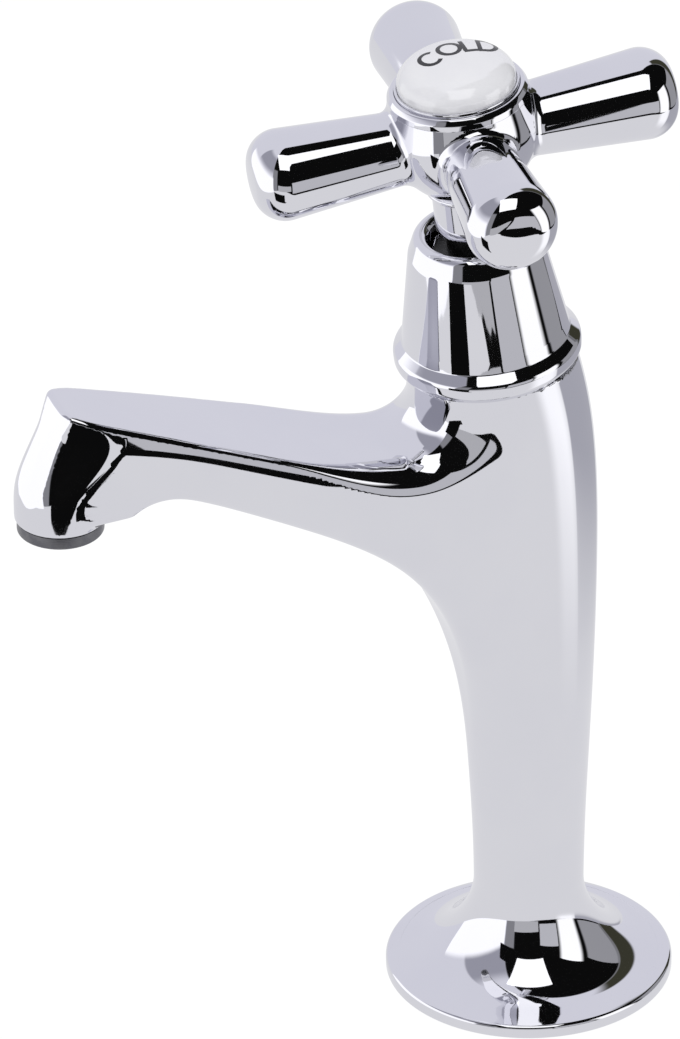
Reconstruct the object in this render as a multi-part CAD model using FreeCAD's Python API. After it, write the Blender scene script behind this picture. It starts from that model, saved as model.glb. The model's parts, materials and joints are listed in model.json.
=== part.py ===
# High-neck pillar tap with a cross handle, in millimetres.
# The deck the tap stands on is the plane Z = 0, the column axis is Z, and the spout points to -Y.
# The valve leans towards the spout. Its pieces are drawn upright about Z, with height 0 at the
# mouth of the body, and the function on_valve() then leans them and lifts them to the mouth.
import FreeCAD, Part
import math
import os

Vec = FreeCAD.Vector
PI = math.pi

# ---- Clearances --------------------------------------------------------------------------------
RUN = 0.05          # radial play of a turning or sliding fit
SEAT_GAP = 0.05     # between faces that only rest on each other
LOOSE = 0.3         # between bodies that pass each other without touching
OVER = 1.0          # cutting shapes run past the faces that they open by this

# ---- Body casting: foot, column and mouth --------------------------------------------------------
FLANGE_R = 26.5
FLANGE_RIM = 2.6
RIM_BEVEL = 0.5             # under the rim
RIM_ROUND = 0.8             # on top of the rim
FLANGE_CROWN = 3.9          # height of the flange where its top meets the trumpet sweep
SWEEP_R = 21.0              # radius at which the trumpet sweep meets the flange
SWEEP_TOP = 17.0            # height at which the sweep meets the column
RECESS_DEPTH = 1.6          # hollow under the flange for the sealing washer
RECESS_R = 22.5
COLUMN_R = 10.1
COLUMN_START = 12.0         # the plain column starts inside the sweep
COLUMN_FLAT = 0.25          # its section is round but for short flats, half this long
SWEEP_SPARE = 0.05          # the sweep ends this far outside the column
SWEEP_OVERLAP = 2.0         # height of the collar on which it ends
SWEEP_MID_OUT = 3.1         # the sweep's middle, out from the column and up from the flange's crown
SWEEP_MID_UP = 4.0
FLARE_START = 30.0          # the column starts to widen towards the mouth here
MOUTH_Z = 131.3
MOUTH_Y = -7.43
LEAN_DEG = 5.9
MOUTH_R = 15.5
NECK_TAPER = 0.11           # the neck narrows by this much per millimetre below the mouth
NECK_LENGTH = 34.0
SIDE_INSET = 0.4            # the flat sides stay inside the neck's round by this

# ---- Body casting: spout -------------------------------------------------------------------------
SPOUT_REACH = 89.9          # column axis to outlet axis
SPOUT_ROOT = 30.0           # distance in front of the column axis where the spout's own shape starts
SPOUT_TIP_HALF = 7.9
SPOUT_TAPER = 0.105         # half width gained per millimetre back from the outlet
OUTLET_DROP = 15.8          # outlet face below the mouth
TIP_RISE = 7.0              # top of the tip above the mouth
TIP_CORNER_R = 2.8          # upright corners of the tip's end face
TIP_SPARE = 0.05            # the block that rounds those corners clears the side faces by this
TIP_OVERLAP = 2.0           # and runs past the tip's top and foot by this
EDGE_R = 1.2                # crisp edge along the top of the spout
UNDER_R = 2.6               # softer edge along its underside

# ---- Waterway ------------------------------------------------------------------------------------
INLET_R = 5.5
SEAT_HEIGHT = -32.0         # valve seat below the mouth
SEAT_RIM_R = 6.6
SEAT_RIM_RISE = 1.2
SEAT_BORE_R = 4.5
THROAT_DEPTH = 4.0          # bore under the seat before the inlet takes over
CHAMBER_R = 9.0
PASSAGE_R = 3.6
PASSAGE_START = 7.0         # above the seat
PASSAGE_LOW = 21.2          # below the mouth where the passage leaves the chamber
PASSAGE_LOW_OUT = 5.0       # in front of the spout's root
PASSAGE_HIGH = 5.8          # below the mouth at its last turn
PASSAGE_TURN = 20.0         # from the last turn to the outlet's axis
PASSAGE_END_BITE = 0.5      # into the outlet's bore
OUTLET_BORE_R = 5.6
OUTLET_BORE_DEPTH = 6.6

# ---- Tail, washers and nut under the deck --------------------------------------------------------
TAIL_R = 10.4775            # G 1/2 major radius
TAIL_LENGTH = 52.0
TAIL_CHAMFER = 1.2
TAIL_GROOVE_DEPTH = 0.5     # groove under the nut, above the free end that the supply screws to
TAIL_GROOVE_WIDTH = 1.6
TAIL_GROOVE_GAP = 1.0       # from the nut's underside to the groove
TAIL_NECK_R = 8.4           # spigot of the tail inside the column
TAIL_NECK_LENGTH = 12.0
DECK_THICKNESS = 14.0
BASE_WASHER_OUTER_R = 22.0
NUT_FLATS = 27.0
NUT_THICKNESS = 7.0
NUT_FLANGE_R = 17.0
NUT_FLANGE_THICKNESS = 1.6
FIBRE_WASHER_R = 17.5
FIBRE_WASHER_THICKNESS = 1.5
STRAP_WASHER_R = 21.0
STRAP_WASHER_THICKNESS = 2.0
STRAP_WASHER_CHAMFER = 0.5
HEX_BEVEL_IN = 1.4          # bevel on a hexagon's corners, inwards and along
HEX_BEVEL_ALONG = 0.9

# ---- Outlet pieces -------------------------------------------------------------------------------
NOZZLE_R = 7.9
NOZZLE_STAND = 2.4
NOZZLE_WALL = 0.9
NOZZLE_CHAMFER = 0.6
GUIDE_LENGTH = 5.0
GUIDE_SETBACK = 0.8         # inside the nozzle's lip
GUIDE_HUB_R = 1.2
GUIDE_VANES = 6
GUIDE_VANE_THICKNESS = 0.7
NOZZLE_SEAL_THICKNESS = 1.4

# ---- Headwork (valve insert) ---------------------------------------------------------------------
HEAD_THREAD_R = 9.32        # G 1/2 headwork thread, minor radius of the body's thread
HEAD_THREAD_LENGTH = 17.0
SKIRT_CLEAR = 11.0          # skirt's foot above the seat
MOUTH_BORE_R = HEAD_THREAD_R + RUN
HEAD_SEAL_THICKNESS = 1.4
HEAD_SEAL_R = 12.4
HEX_FLATS = 22.0
HEX_HEIGHT = 7.0
GLAND_R = 6.6
GLAND_TOP = 21.6
SPINDLE_R = 4.5
SPINDLE_COLLAR_R = 6.0
SPINDLE_COLLAR_HEIGHT = 2.4
THRUST_WASHER_THICKNESS = 1.0
COLLAR_TOP = 2.0            # underside of the thrust washer's shoulder, above the mouth
SCREW_R = 3.9               # lifting screw at the foot of the spindle
SCREW_LENGTH = 15.0
RING_GROOVE_DEPTH = 1.1
RING_GROOVE_WIDTH = 1.54
RING_PLAY = 0.02
RING_HEIGHTS = (10.0, 15.0)
CIRCLIP_THICKNESS = 0.9
CIRCLIP_R = 6.2
CIRCLIP_GROOVE_DEPTH = 0.7
CIRCLIP_OPENING = 2.4
DRIVE_FLATS = 6.6           # square end that drives the handle
DRIVE_LENGTH = 12.0
DRIVE_GRIP = 7.0            # length of the square that is inside the handle
SLEEVE_FLANGE_R = 7.6       # moulded sleeve that fills the handle's neck and covers the gland
SLEEVE_FLANGE_THICKNESS = 1.2

# ---- Jumper: the plunger that closes the seat ----------------------------------------------------
JUMPER_R = 7.6
JUMPER_FLATS = 12.6         # across its two guide flats
JUMPER_LENGTH = 19.0
JUMPER_PLATE_R = 7.2
JUMPER_PLATE_THICKNESS = 1.6
SEAT_WASHER_R = 6.3
SEAT_WASHER_THICKNESS = 3.6
WASHER_STUD_R = 1.8
WASHER_NUT_FLATS = 6.0
WASHER_NUT_THICKNESS = 2.2
STUD_LENGTH = 6.4
LIFT = 5.0                  # travel of the jumper

# ---- Bell cover ----------------------------------------------------------------------------------
BELL_FOOT_R = 15.8
BELL_FOOT_BORE_R = 14.4
BELL_BEAD_R = 17.0
BELL_BEAD_TOP = 5.2
BELL_NECK_R = 15.0
BELL_NECK_HEIGHT = 7.6
BELL_FILLET_OUT = 0.25      # middle of the fillet above the bead, out from the neck
BELL_FILLET_UP = 0.9        # and up from the bead
BELL_TOP_R = 12.4
BELL_SHOULDER_HEIGHT = 23.2
BELL_HEIGHT = 27.0
BELL_ROUND_IN = 0.75        # middle of the shoulder's round, in from the shoulder
BELL_ROUND_DOWN = 1.55      # and down from the top
BELL_LIP_R = 10.1           # crest of the rolled lip
BELL_HOLE_R = 8.4
BELL_LIP_IN = 0.65          # middle of the lip's inner round, out from the hole
BELL_LIP_DOWN = 0.15        # and down from the top
BELL_LIP_DEPTH = 0.8        # where that round ends
BELL_HOLE_DEPTH = 2.6
BELL_WALL = 1.5
BELL_WEB_HEIGHT = 13.0
BELL_WEB_THICKNESS = 1.5
COVER_NUT_R = 8.1
COVER_NUT_THICKNESS = 3.0
COVER_NUT_SLOT = 1.6

# ---- Cross handle --------------------------------------------------------------------------------
HANDLE_NECK_R = 6.8
HANDLE_NECK_BOTTOM = 28.2
HANDLE_NECK_CHAMFER = 0.4
HUB_BOTTOM = 36.0
HUB_RING_R = 7.7
HUB_RING_HEIGHT = 1.2
HUB_BOWL_R = 7.4            # foot of the bowl, on top of the ring
BOWL_MID_IN = 2.2           # middle of the bowl's curve, in from the hub
BOWL_MID_DOWN = 0.7         # and down from the half-way height
HUB_R = 13.8
HUB_R_HEIGHT = 47.0
HUB_SHOULDER_R = 12.9
HUB_SHOULDER_HEIGHT = 54.6
HUB_RIM_R = 12.3
HUB_TOP = 57.4
RIM_MID_OUT = 0.35          # middle of the round under the rim, out from the rim
RIM_MID_DOWN = 1.1
ARM_HEIGHT = 47.2
ARM_REACH = 39.6
ARM_ROOT_R = 5.8            # at the valve's axis, inside the hub
ARM_END_R = 8.45
ARM_END_ROUND = 5.4
ARM_COUNT = 4
ARM_TURN_DEG = -6.25        # the handle's position at rest, from +X
ARM_END_DOME = 0.5
ARM_END_FLAT_R = 0.3        # small flat at the middle of the arm's domed end
HANDLE_CORE_R = 5.2
CAP_RECESS_R = 11.4
CAP_RECESS_DEPTH = 4.2
SCREW_WELL_R = 9.4
SCREW_WELL_DEPTH = 3.8
HANDLE_WEB_BOTTOM = 35.0
SCREW_HEAD_R = 3.6
SCREW_HEAD_HEIGHT = 2.4
SCREW_SLOT = 1.0
SCREW_SHANK_R = 2.0
SCREW_GRIP = 7.0            # thread inside the spindle
LOCK_WASHER_THICKNESS = 0.9

# ---- Index cap -----------------------------------------------------------------------------------
CUP_WALL = 0.5
CUP_FLOOR = 0.6
CUP_STAND = 0.6             # rim of the cup above the hub
INDEX_EDGE = 1.3            # straight edge of the insert above the cup
INDEX_SHOULDER_R = 8.9
INDEX_SHOULDER = 2.5        # height of the rounded shoulder above the straight edge
INDEX_BULGE = 0.5           # bulge of that shoulder out from a plain bevel
INDEX_DOME = 1.8            # height of the dome above the shoulder
INDEX_MID = 0.54            # the dome's middle point, as a share of its radius
INDEX_FLAT_R = 0.3

# ---- Helpers -------------------------------------------------------------------------------------


def on_valve(shape):
    """Lean an upright valve piece towards the spout and lift it to the mouth of the body."""
    placed = shape.copy()
    placed.rotate(Vec(0, 0, 0), Vec(1, 0, 0), LEAN_DEG)
    placed.translate(Vec(0, MOUTH_Y, MOUTH_Z))
    return placed


def disc(radius, bottom, top):
    """Solid cylinder about Z between two heights."""
    return Part.makeCylinder(radius, top - bottom, Vec(0, 0, bottom))


def ring(outer, inner, bottom, top):
    """Flat ring about Z."""
    return disc(outer, bottom, top).cut(disc(inner, bottom - OVER, top + OVER))


def turned(points):
    """Solid turned about Z from (radius, height) points. A three-number point is the middle of an
    arc from the point before it to the point after it; its third number only marks it."""
    edges = []
    place = [Vec(p[0], 0, p[1]) for p in points]
    i = 0
    while i < len(points) - 1:
        if len(points[i + 1]) == 3:
            edges.append(Part.Arc(place[i], place[i + 1], place[i + 2]).toShape())
            i += 2
        else:
            edges.append(Part.LineSegment(place[i], place[i + 1]).toShape())
            i += 1
    edges.append(Part.LineSegment(place[-1], place[0]).toShape())
    face = Part.Face(Part.Wire(edges))
    return face.revolve(Vec(0, 0, 0), Vec(0, 0, 1), 360)


def prism(flats, sides, bottom, top):
    """Upright prism with a regular base, by its size across flats."""
    radius = flats / 2 / math.cos(PI / sides)
    turn = PI / sides
    corners = []
    for k in range(sides + 1):
        angle = turn + 2 * PI * k / sides
        corners.append(Vec(radius * math.cos(angle), radius * math.sin(angle), bottom))
    return Part.Face(Part.makePolygon(corners)).extrude(Vec(0, 0, top - bottom))


def rod(start, end, radius):
    """Cylinder between two points."""
    way = end.sub(start)
    return Part.makeCylinder(radius, way.Length, start, way)


def pipe_run(points, radius):
    """Straight bores joined by balls at the turns."""
    solid = rod(points[0], points[1], radius)
    for a, b in zip(points[1:], points[2:]):
        solid = solid.fuse(Part.makeSphere(radius, a)).fuse(rod(a, b, radius))
    return solid


def rounded_section(corners, radii):
    """Closed wire through four corners, each rounded to its own radius."""
    starts = []
    arcs = []
    for k, corner in enumerate(corners):
        back = corners[k - 1].sub(corner).normalize()
        ahead = corners[(k + 1) % 4].sub(corner).normalize()
        half = back.getAngle(ahead) / 2
        run = radii[k] / math.tan(half)
        first = corner.add(back * run)
        last = corner.add(ahead * run)
        middle = corner.add((back + ahead).normalize() * (radii[k] / math.sin(half) - radii[k]))
        arcs.append(Part.Arc(first, middle, last).toShape())
        starts.append((first, last))
    edges = []
    for k in range(4):
        edges.append(arcs[k])
        edges.append(Part.LineSegment(starts[k][1], starts[(k + 1) % 4][0]).toShape())
    return Part.Wire(edges)


# ---- Body casting --------------------------------------------------------------------------------


def half_width(y, z):
    """Half of the casting's width: the column flares up to the mouth, the spout tapers to its tip."""
    climb = max(0.0, (z - FLARE_START) / (MOUTH_Z - FLARE_START))
    front = COLUMN_R + (MOUTH_R - COLUMN_R) * climb ** 2
    plan = SPOUT_TIP_HALF + SPOUT_TAPER * (y + SPOUT_REACH)
    return min(front, plan, MOUTH_R - SIDE_INSET)


def body_stations():
    """Cross sections from the foot to the tip. Each one is the plane through an inner point, on the
    front and underside, and an outer point, on the back and top, with the radii of both edges."""
    full = COLUMN_R - COLUMN_FLAT
    column = [
        (-COLUMN_R, COLUMN_START, COLUMN_R, COLUMN_START, full, full),
        (-COLUMN_R, 22.0, COLUMN_R, 22.0, full, full),
        (-10.9, 42.0, 11.0, 42.0, full, full),
        (-12.4, 60.0, 11.9, 60.0, 9.6, 10.2),
    ]
    bend = [
        (-15.2, -58.3, 12.8, -55.3, 8.8, 10.8),
        (-18.9, -49.3, 13.1, -39.3, 8.0, 11.5),
        (-23.5, -41.3, 12.7, -23.3, 6.6, 12.6),
        (-26.6, -37.4, 10.7, -9.8, 5.6, 13.4),
        (-28.6, -35.3, 8.4, 1.0, 5.0, 13.8),
        (-31.0, -33.0, -5.0, 1.0, 4.6, 11.0),
        (-34.5, -30.2, -18.5, -8.6, 3.8, 4.0),
        (-38.5, -27.3, -28.8, -12.0, 3.2, 1.6),
    ]
    spout = [
        (0.235, -24.1, 0.125, -11.1, UNDER_R, EDGE_R),
        (0.335, -21.0, 0.245, -8.5, UNDER_R, EDGE_R),
        (0.468, -17.0, 0.418, -4.6, UNDER_R, EDGE_R),
        (0.600, -13.4, 0.577, -1.1, UNDER_R, EDGE_R),
        (0.708, -11.4, 0.702, 1.5, UNDER_R, EDGE_R),
        (0.776, -12.1, 0.795, 3.4, UNDER_R, EDGE_R),
        (0.835, -14.4, 0.868, 5.0, UNDER_R, EDGE_R),
        (0.866, -OUTLET_DROP, 0.905, 5.7, UNDER_R, EDGE_R),
        (1.148, -OUTLET_DROP, 1.020, TIP_RISE, UNDER_R, EDGE_R),
    ]
    rows = list(column)
    for yi, zi, yo, zo, ri, ro in bend:
        rows.append((yi, MOUTH_Z + zi, yo, MOUTH_Z + zo, ri, ro))
    length = SPOUT_REACH - SPOUT_ROOT
    for ti, zi, to, zo, ri, ro in spout:
        rows.append((-SPOUT_ROOT - ti * length, MOUTH_Z + zi, -SPOUT_ROOT - to * length,
                     MOUTH_Z + zo, ri, ro))
    return rows


def station_wire(row):
    yi, zi, yo, zo, ri, ro = row
    wi = half_width(yi, zi)
    wo = half_width(yo, zo)
    corners = [Vec(wo, yo, zo), Vec(-wo, yo, zo), Vec(-wi, yi, zi), Vec(wi, yi, zi)]
    return rounded_section(corners, (ro, ro, ri, ri))


def above_mouth():
    """Block that trims the casting to the leaning plane of its mouth."""
    room = 2 * MOUTH_R
    return on_valve(Part.makeBox(2 * room, room + SPOUT_ROOT + MOUTH_Y, room,
                                 Vec(-room, -SPOUT_ROOT - MOUTH_Y, 0)))


def tip_plan(end, z):
    """Plan outline of the tip at one height, wider than the casting except at its end corners."""
    back = -SPOUT_ROOT - SPOUT_REACH / 2
    end_half = half_width(end, z) + TIP_SPARE
    back_half = half_width(back, z) + TIP_SPARE
    corners = [Vec(end_half, end, z), Vec(-end_half, end, z),
               Vec(-back_half, back, z), Vec(back_half, back, z)]
    return rounded_section(corners, (TIP_CORNER_R, TIP_CORNER_R, EDGE_R, EDGE_R))


def rounded_tip(near, far):
    """Straight end of the spout, trimmed so that the upright corners of its end are rounded."""
    yi, zi, yo, zo = body_stations()[-1][:4]
    tip = Part.makeLoft([near, far], True, True, False)
    run = (yo - yi) / (zo - zi)
    plans = [tip_plan(yi - TIP_OVERLAP * run, zi - TIP_OVERLAP),
             tip_plan(yo + TIP_OVERLAP * run, zo + TIP_OVERLAP)]
    return tip.common(Part.makeLoft(plans, True, True, False))


def body_outside():
    """The casting's outer form: the lofted limb, its straight tip, the round neck under the bell
    and the foot."""
    wires = [station_wire(row) for row in body_stations()]
    limb = Part.makeLoft(wires[:-1], True, False, False)
    tip = rounded_tip(wires[-2], wires[-1])
    neck = on_valve(Part.makeCone(MOUTH_R - NECK_TAPER * NECK_LENGTH, MOUTH_R, NECK_LENGTH,
                                  Vec(0, 0, -NECK_LENGTH)))
    rim_inset = RIM_ROUND * (1 - math.sin(PI / 4))
    foot = turned([
        (0, 0), (FLANGE_R - RIM_BEVEL, 0), (FLANGE_R, RIM_BEVEL), (FLANGE_R, FLANGE_RIM - RIM_ROUND),
        (FLANGE_R - rim_inset, FLANGE_RIM - rim_inset, 1), (FLANGE_R - RIM_ROUND, FLANGE_RIM),
        (SWEEP_R, FLANGE_CROWN), (COLUMN_R + SWEEP_MID_OUT, FLANGE_CROWN + SWEEP_MID_UP, 1),
        (COLUMN_R + SWEEP_SPARE, SWEEP_TOP + SWEEP_OVERLAP), (0, SWEEP_TOP + SWEEP_OVERLAP)])
    foot.rotate(Vec(0, 0, 0), Vec(0, 0, 1), 30)
    return limb.fuse(foot).fuse(neck).cut(above_mouth()).fuse(tip)


def valve_point(height):
    """Point on the valve's axis at a height above the mouth."""
    lean = math.radians(LEAN_DEG)
    return Vec(0, MOUTH_Y - math.sin(lean) * height, MOUTH_Z + math.cos(lean) * height)


def make_tap_body():
    """Casting with its waterway: up the column, through the seat, out along the spout."""
    outlet_z = MOUTH_Z - OUTLET_DROP
    outlet_top = outlet_z + OUTLET_BORE_DEPTH
    crossing = valve_point(MOUTH_Y / math.sin(math.radians(LEAN_DEG)))
    floor = SEAT_HEIGHT - SEAT_RIM_RISE
    inlet = pipe_run([valve_point(floor - THROAT_DEPTH / 2), crossing, Vec(0, 0, -OVER)], INLET_R)
    tail_socket = disc(TAIL_NECK_R + RUN, -OVER, RECESS_DEPTH + TAIL_NECK_LENGTH + LOOSE)
    recess = disc(RECESS_R, -OVER, RECESS_DEPTH)
    seat_rim = ring(SEAT_RIM_R, SEAT_BORE_R, floor - OVER, SEAT_HEIGHT)
    chamber = disc(CHAMBER_R, floor, -HEAD_THREAD_LENGTH).cut(seat_rim)
    bore = disc(MOUTH_BORE_R, -HEAD_THREAD_LENGTH - OVER / 2, OVER)
    throat = disc(SEAT_BORE_R, floor - THROAT_DEPTH, SEAT_HEIGHT + OVER)
    passage = pipe_run([
        valve_point(SEAT_HEIGHT + PASSAGE_START),
        Vec(0, -SPOUT_ROOT - PASSAGE_LOW_OUT, MOUTH_Z - PASSAGE_LOW),
        Vec(0, PASSAGE_TURN - SPOUT_REACH, MOUTH_Z - PASSAGE_HIGH),
        Vec(0, -SPOUT_REACH, outlet_top - PASSAGE_END_BITE)], PASSAGE_R)
    outlet = disc(OUTLET_BORE_R, outlet_z - OVER, outlet_top)
    outlet.translate(Vec(0, -SPOUT_REACH, 0))
    valve_room = on_valve(chamber.fuse(bore).fuse(throat))
    water = valve_room.fuse(inlet).fuse(passage).fuse(outlet)
    return body_outside().cut(water).cut(tail_socket).cut(recess)


# ---- Under the deck ------------------------------------------------------------------------------


def under_deck(gap_count):
    """Height of a face in the stack under the support washer, below that many resting faces."""
    return -DECK_THICKNESS - STRAP_WASHER_THICKNESS - gap_count * SEAT_GAP


def nut_top():
    return under_deck(2) - FIBRE_WASHER_THICKNESS


def make_inlet_tail():
    """Threaded tail with a spigot that is brazed into the foot of the column, and a groove that
    parts the nut's stretch of thread from the free end."""
    shoulder = RECESS_DEPTH - SEAT_GAP
    groove_top = nut_top() - NUT_THICKNESS - TAIL_GROOVE_GAP
    groove_r = TAIL_R - TAIL_GROOVE_DEPTH
    tail = turned([
        (0, -TAIL_LENGTH), (TAIL_R - TAIL_CHAMFER, -TAIL_LENGTH), (TAIL_R, TAIL_CHAMFER - TAIL_LENGTH),
        (TAIL_R, groove_top - TAIL_GROOVE_WIDTH), (groove_r, groove_top - TAIL_GROOVE_WIDTH),
        (groove_r, groove_top), (TAIL_R, groove_top),
        (TAIL_R, shoulder), (TAIL_NECK_R, shoulder), (TAIL_NECK_R, shoulder + TAIL_NECK_LENGTH),
        (0, shoulder + TAIL_NECK_LENGTH)])
    return tail.cut(disc(INLET_R, -TAIL_LENGTH - OVER, shoulder + TAIL_NECK_LENGTH + OVER))


def make_base_washer():
    return ring(BASE_WASHER_OUTER_R, TAIL_R + LOOSE, 0, RECESS_DEPTH - SEAT_GAP)


def make_strap_washer():
    """Moulded support washer under the deck, with its edge chamfered."""
    top = -DECK_THICKNESS
    low = top - STRAP_WASHER_THICKNESS
    washer = turned([
        (TAIL_R + LOOSE, low), (STRAP_WASHER_R - STRAP_WASHER_CHAMFER, low),
        (STRAP_WASHER_R, low + STRAP_WASHER_CHAMFER),
        (STRAP_WASHER_R, top), (TAIL_R + LOOSE, top)])
    return washer


def make_fibre_washer():
    top = under_deck(1)
    return ring(FIBRE_WASHER_R, TAIL_R + LOOSE, top - FIBRE_WASHER_THICKNESS, top)


def make_backnut():
    """Flanged hexagon nut that clamps the tap to the deck."""
    top = nut_top()
    low = top - NUT_THICKNESS
    flange = disc(NUT_FLANGE_R, top - NUT_FLANGE_THICKNESS, top)
    corner_r = NUT_FLATS / 2 / math.cos(PI / 6)
    bevel = turned([(0, low), (corner_r - HEX_BEVEL_IN, low), (corner_r, low + HEX_BEVEL_ALONG),
                    (corner_r, top), (0, top)])
    nut = prism(NUT_FLATS, 6, low, top).common(bevel).fuse(flange)
    return nut.cut(disc(TAIL_R + RUN, low - OVER, top + OVER))


# ---- Outlet --------------------------------------------------------------------------------------


def at_outlet(shape):
    """Put a piece drawn with its height 0 at the outlet face under the tip of the spout."""
    placed = shape.copy()
    placed.translate(Vec(0, -SPOUT_REACH, MOUTH_Z - OUTLET_DROP))
    return placed


def make_outlet_nozzle():
    """Screwed collar that shows as a dark ring under the tip."""
    inner = OUTLET_BORE_R - RUN - NOZZLE_WALL
    top = OUTLET_BORE_DEPTH - NOZZLE_SEAL_THICKNESS - 2 * SEAT_GAP
    nozzle = turned([
        (inner, -NOZZLE_STAND), (NOZZLE_R - NOZZLE_CHAMFER, -NOZZLE_STAND),
        (NOZZLE_R, NOZZLE_CHAMFER - NOZZLE_STAND),
        (NOZZLE_R, -SEAT_GAP), (OUTLET_BORE_R - RUN, -SEAT_GAP), (OUTLET_BORE_R - RUN, top),
        (inner, top)])
    return at_outlet(nozzle)


def make_nozzle_seal():
    low = OUTLET_BORE_DEPTH - NOZZLE_SEAL_THICKNESS - SEAT_GAP
    inner = OUTLET_BORE_R - RUN - NOZZLE_WALL
    return at_outlet(ring(OUTLET_BORE_R - RUN, inner, low, OUTLET_BORE_DEPTH - SEAT_GAP))


def make_flow_guide():
    """Moulded star of vanes in a thin sleeve that straightens the stream."""
    outer = OUTLET_BORE_R - 2 * RUN - NOZZLE_WALL
    low = GUIDE_SETBACK - NOZZLE_STAND
    sleeve = ring(outer, outer - GUIDE_VANE_THICKNESS, low, low + GUIDE_LENGTH)
    hub = disc(GUIDE_HUB_R, low, low + GUIDE_LENGTH)
    guide = sleeve.fuse(hub)
    for k in range(GUIDE_VANES):
        vane = Part.makeBox(outer - GUIDE_VANE_THICKNESS / 2, GUIDE_VANE_THICKNESS, GUIDE_LENGTH,
                            Vec(0, -GUIDE_VANE_THICKNESS / 2, low))
        vane.rotate(Vec(0, 0, 0), Vec(0, 0, 1), 360 * k / GUIDE_VANES)
        guide = guide.fuse(vane)
    return at_outlet(guide)


# ---- Headwork ------------------------------------------------------------------------------------


def guide_form(radius, flats, bottom, top):
    """Round bar with two flats, which slides without turning."""
    slab = Part.makeBox(flats, 4 * radius, top - bottom, Vec(-flats / 2, -2 * radius, bottom))
    return disc(radius, bottom, top).common(slab)


def make_headwork_body():
    """Brass insert: threaded skirt that guides the jumper, spanner hexagon and gland tube."""
    skirt_foot = SEAT_HEIGHT + SKIRT_CLEAR
    hex_low = HEAD_SEAL_THICKNESS + 2 * SEAT_GAP
    hex_top = hex_low + HEX_HEIGHT
    skirt = disc(CHAMBER_R - LOOSE, skirt_foot, -HEAD_THREAD_LENGTH)
    thread = disc(HEAD_THREAD_R, -HEAD_THREAD_LENGTH, hex_low)
    corner_r = HEX_FLATS / 2 / math.cos(PI / 6)
    bevel = turned([(0, hex_low), (corner_r, hex_low), (corner_r, hex_top - HEX_BEVEL_ALONG),
                    (corner_r - HEX_BEVEL_IN, hex_top), (0, hex_top)])
    nut = prism(HEX_FLATS, 6, hex_low, hex_top).common(bevel)
    gland = disc(GLAND_R, hex_top, GLAND_TOP)
    solid = skirt.fuse(thread).fuse(nut).fuse(gland)
    guide = guide_form(JUMPER_R + RUN, JUMPER_FLATS + 2 * RUN, skirt_foot - OVER, COLLAR_TOP)
    return on_valve(solid.cut(guide).cut(disc(SPINDLE_R + RUN, 0, GLAND_TOP + OVER)))


def make_headwork_seal():
    return on_valve(ring(HEAD_SEAL_R, HEAD_THREAD_R + RUN, SEAT_GAP, SEAT_GAP + HEAD_SEAL_THICKNESS))


def collar_face():
    """Height of the top of the spindle's collar, which bears on the thrust washer."""
    return COLLAR_TOP - THRUST_WASHER_THICKNESS - 2 * SEAT_GAP


def circlip_low():
    return GLAND_TOP + SEAT_GAP


def spindle_top():
    return HANDLE_WEB_BOTTOM + DRIVE_GRIP - LOOSE


def make_spindle():
    """Turned spindle: lifting screw, collar, sealed shaft and the square that drives the handle."""
    collar_low = collar_face() - SPINDLE_COLLAR_HEIGHT
    top = spindle_top()
    spindle = disc(SCREW_R, collar_low - SCREW_LENGTH, collar_low)
    spindle = spindle.fuse(disc(SPINDLE_COLLAR_R, collar_low, collar_face()))
    spindle = spindle.fuse(disc(SPINDLE_R, collar_face(), top))
    groove_r = SPINDLE_R - RING_GROOVE_DEPTH
    for height in RING_HEIGHTS:
        low = height - RING_GROOVE_WIDTH / 2
        spindle = spindle.cut(ring(SPINDLE_R + OVER, groove_r, low, low + RING_GROOVE_WIDTH))
    clip_r = SPINDLE_R - CIRCLIP_GROOVE_DEPTH
    spindle = spindle.cut(ring(SPINDLE_R + OVER, clip_r, circlip_low() - SEAT_GAP,
                               circlip_low() + CIRCLIP_THICKNESS + SEAT_GAP))
    square = prism(DRIVE_FLATS, 4, top - DRIVE_LENGTH, top + OVER)
    spindle = spindle.cut(disc(SPINDLE_R + OVER, top - DRIVE_LENGTH, top + OVER).cut(square))
    return on_valve(spindle.cut(disc(SCREW_SHANK_R + RUN, top - SCREW_GRIP - OVER, top + OVER)))


def make_spindle_o_rings():
    wire_r = RING_GROOVE_DEPTH / 2 - RING_PLAY
    centre_r = SPINDLE_R - RING_GROOVE_DEPTH / 2
    rings = [on_valve(Part.makeTorus(centre_r, wire_r, Vec(0, 0, h))) for h in RING_HEIGHTS]
    return Part.makeCompound(rings)


def make_thrust_washer():
    low = collar_face() + SEAT_GAP
    return on_valve(ring(SPINDLE_COLLAR_R, SPINDLE_R + RUN, low, low + THRUST_WASHER_THICKNESS))


def make_spindle_circlip():
    """Open spring ring in the spindle's groove, on top of the gland."""
    low = circlip_low()
    clip = ring(CIRCLIP_R, SPINDLE_R - CIRCLIP_GROOVE_DEPTH + RUN, low, low + CIRCLIP_THICKNESS)
    opening = Part.makeBox(2 * CIRCLIP_R, CIRCLIP_OPENING, 4 * CIRCLIP_THICKNESS,
                           Vec(0, -CIRCLIP_OPENING / 2, low - CIRCLIP_THICKNESS))
    return on_valve(clip.cut(opening))


def make_spindle_sleeve():
    """Black moulded sleeve round the spindle, inside the handle's neck, flanged over the gland."""
    low = circlip_low() + CIRCLIP_THICKNESS + SEAT_GAP
    top = HANDLE_WEB_BOTTOM - SEAT_GAP
    sleeve = disc(HANDLE_CORE_R - RUN, low, top)
    sleeve = sleeve.fuse(disc(SLEEVE_FLANGE_R, low, low + SLEEVE_FLANGE_THICKNESS))
    return on_valve(sleeve.cut(disc(SPINDLE_R + RUN, low - OVER, top + OVER)))


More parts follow.
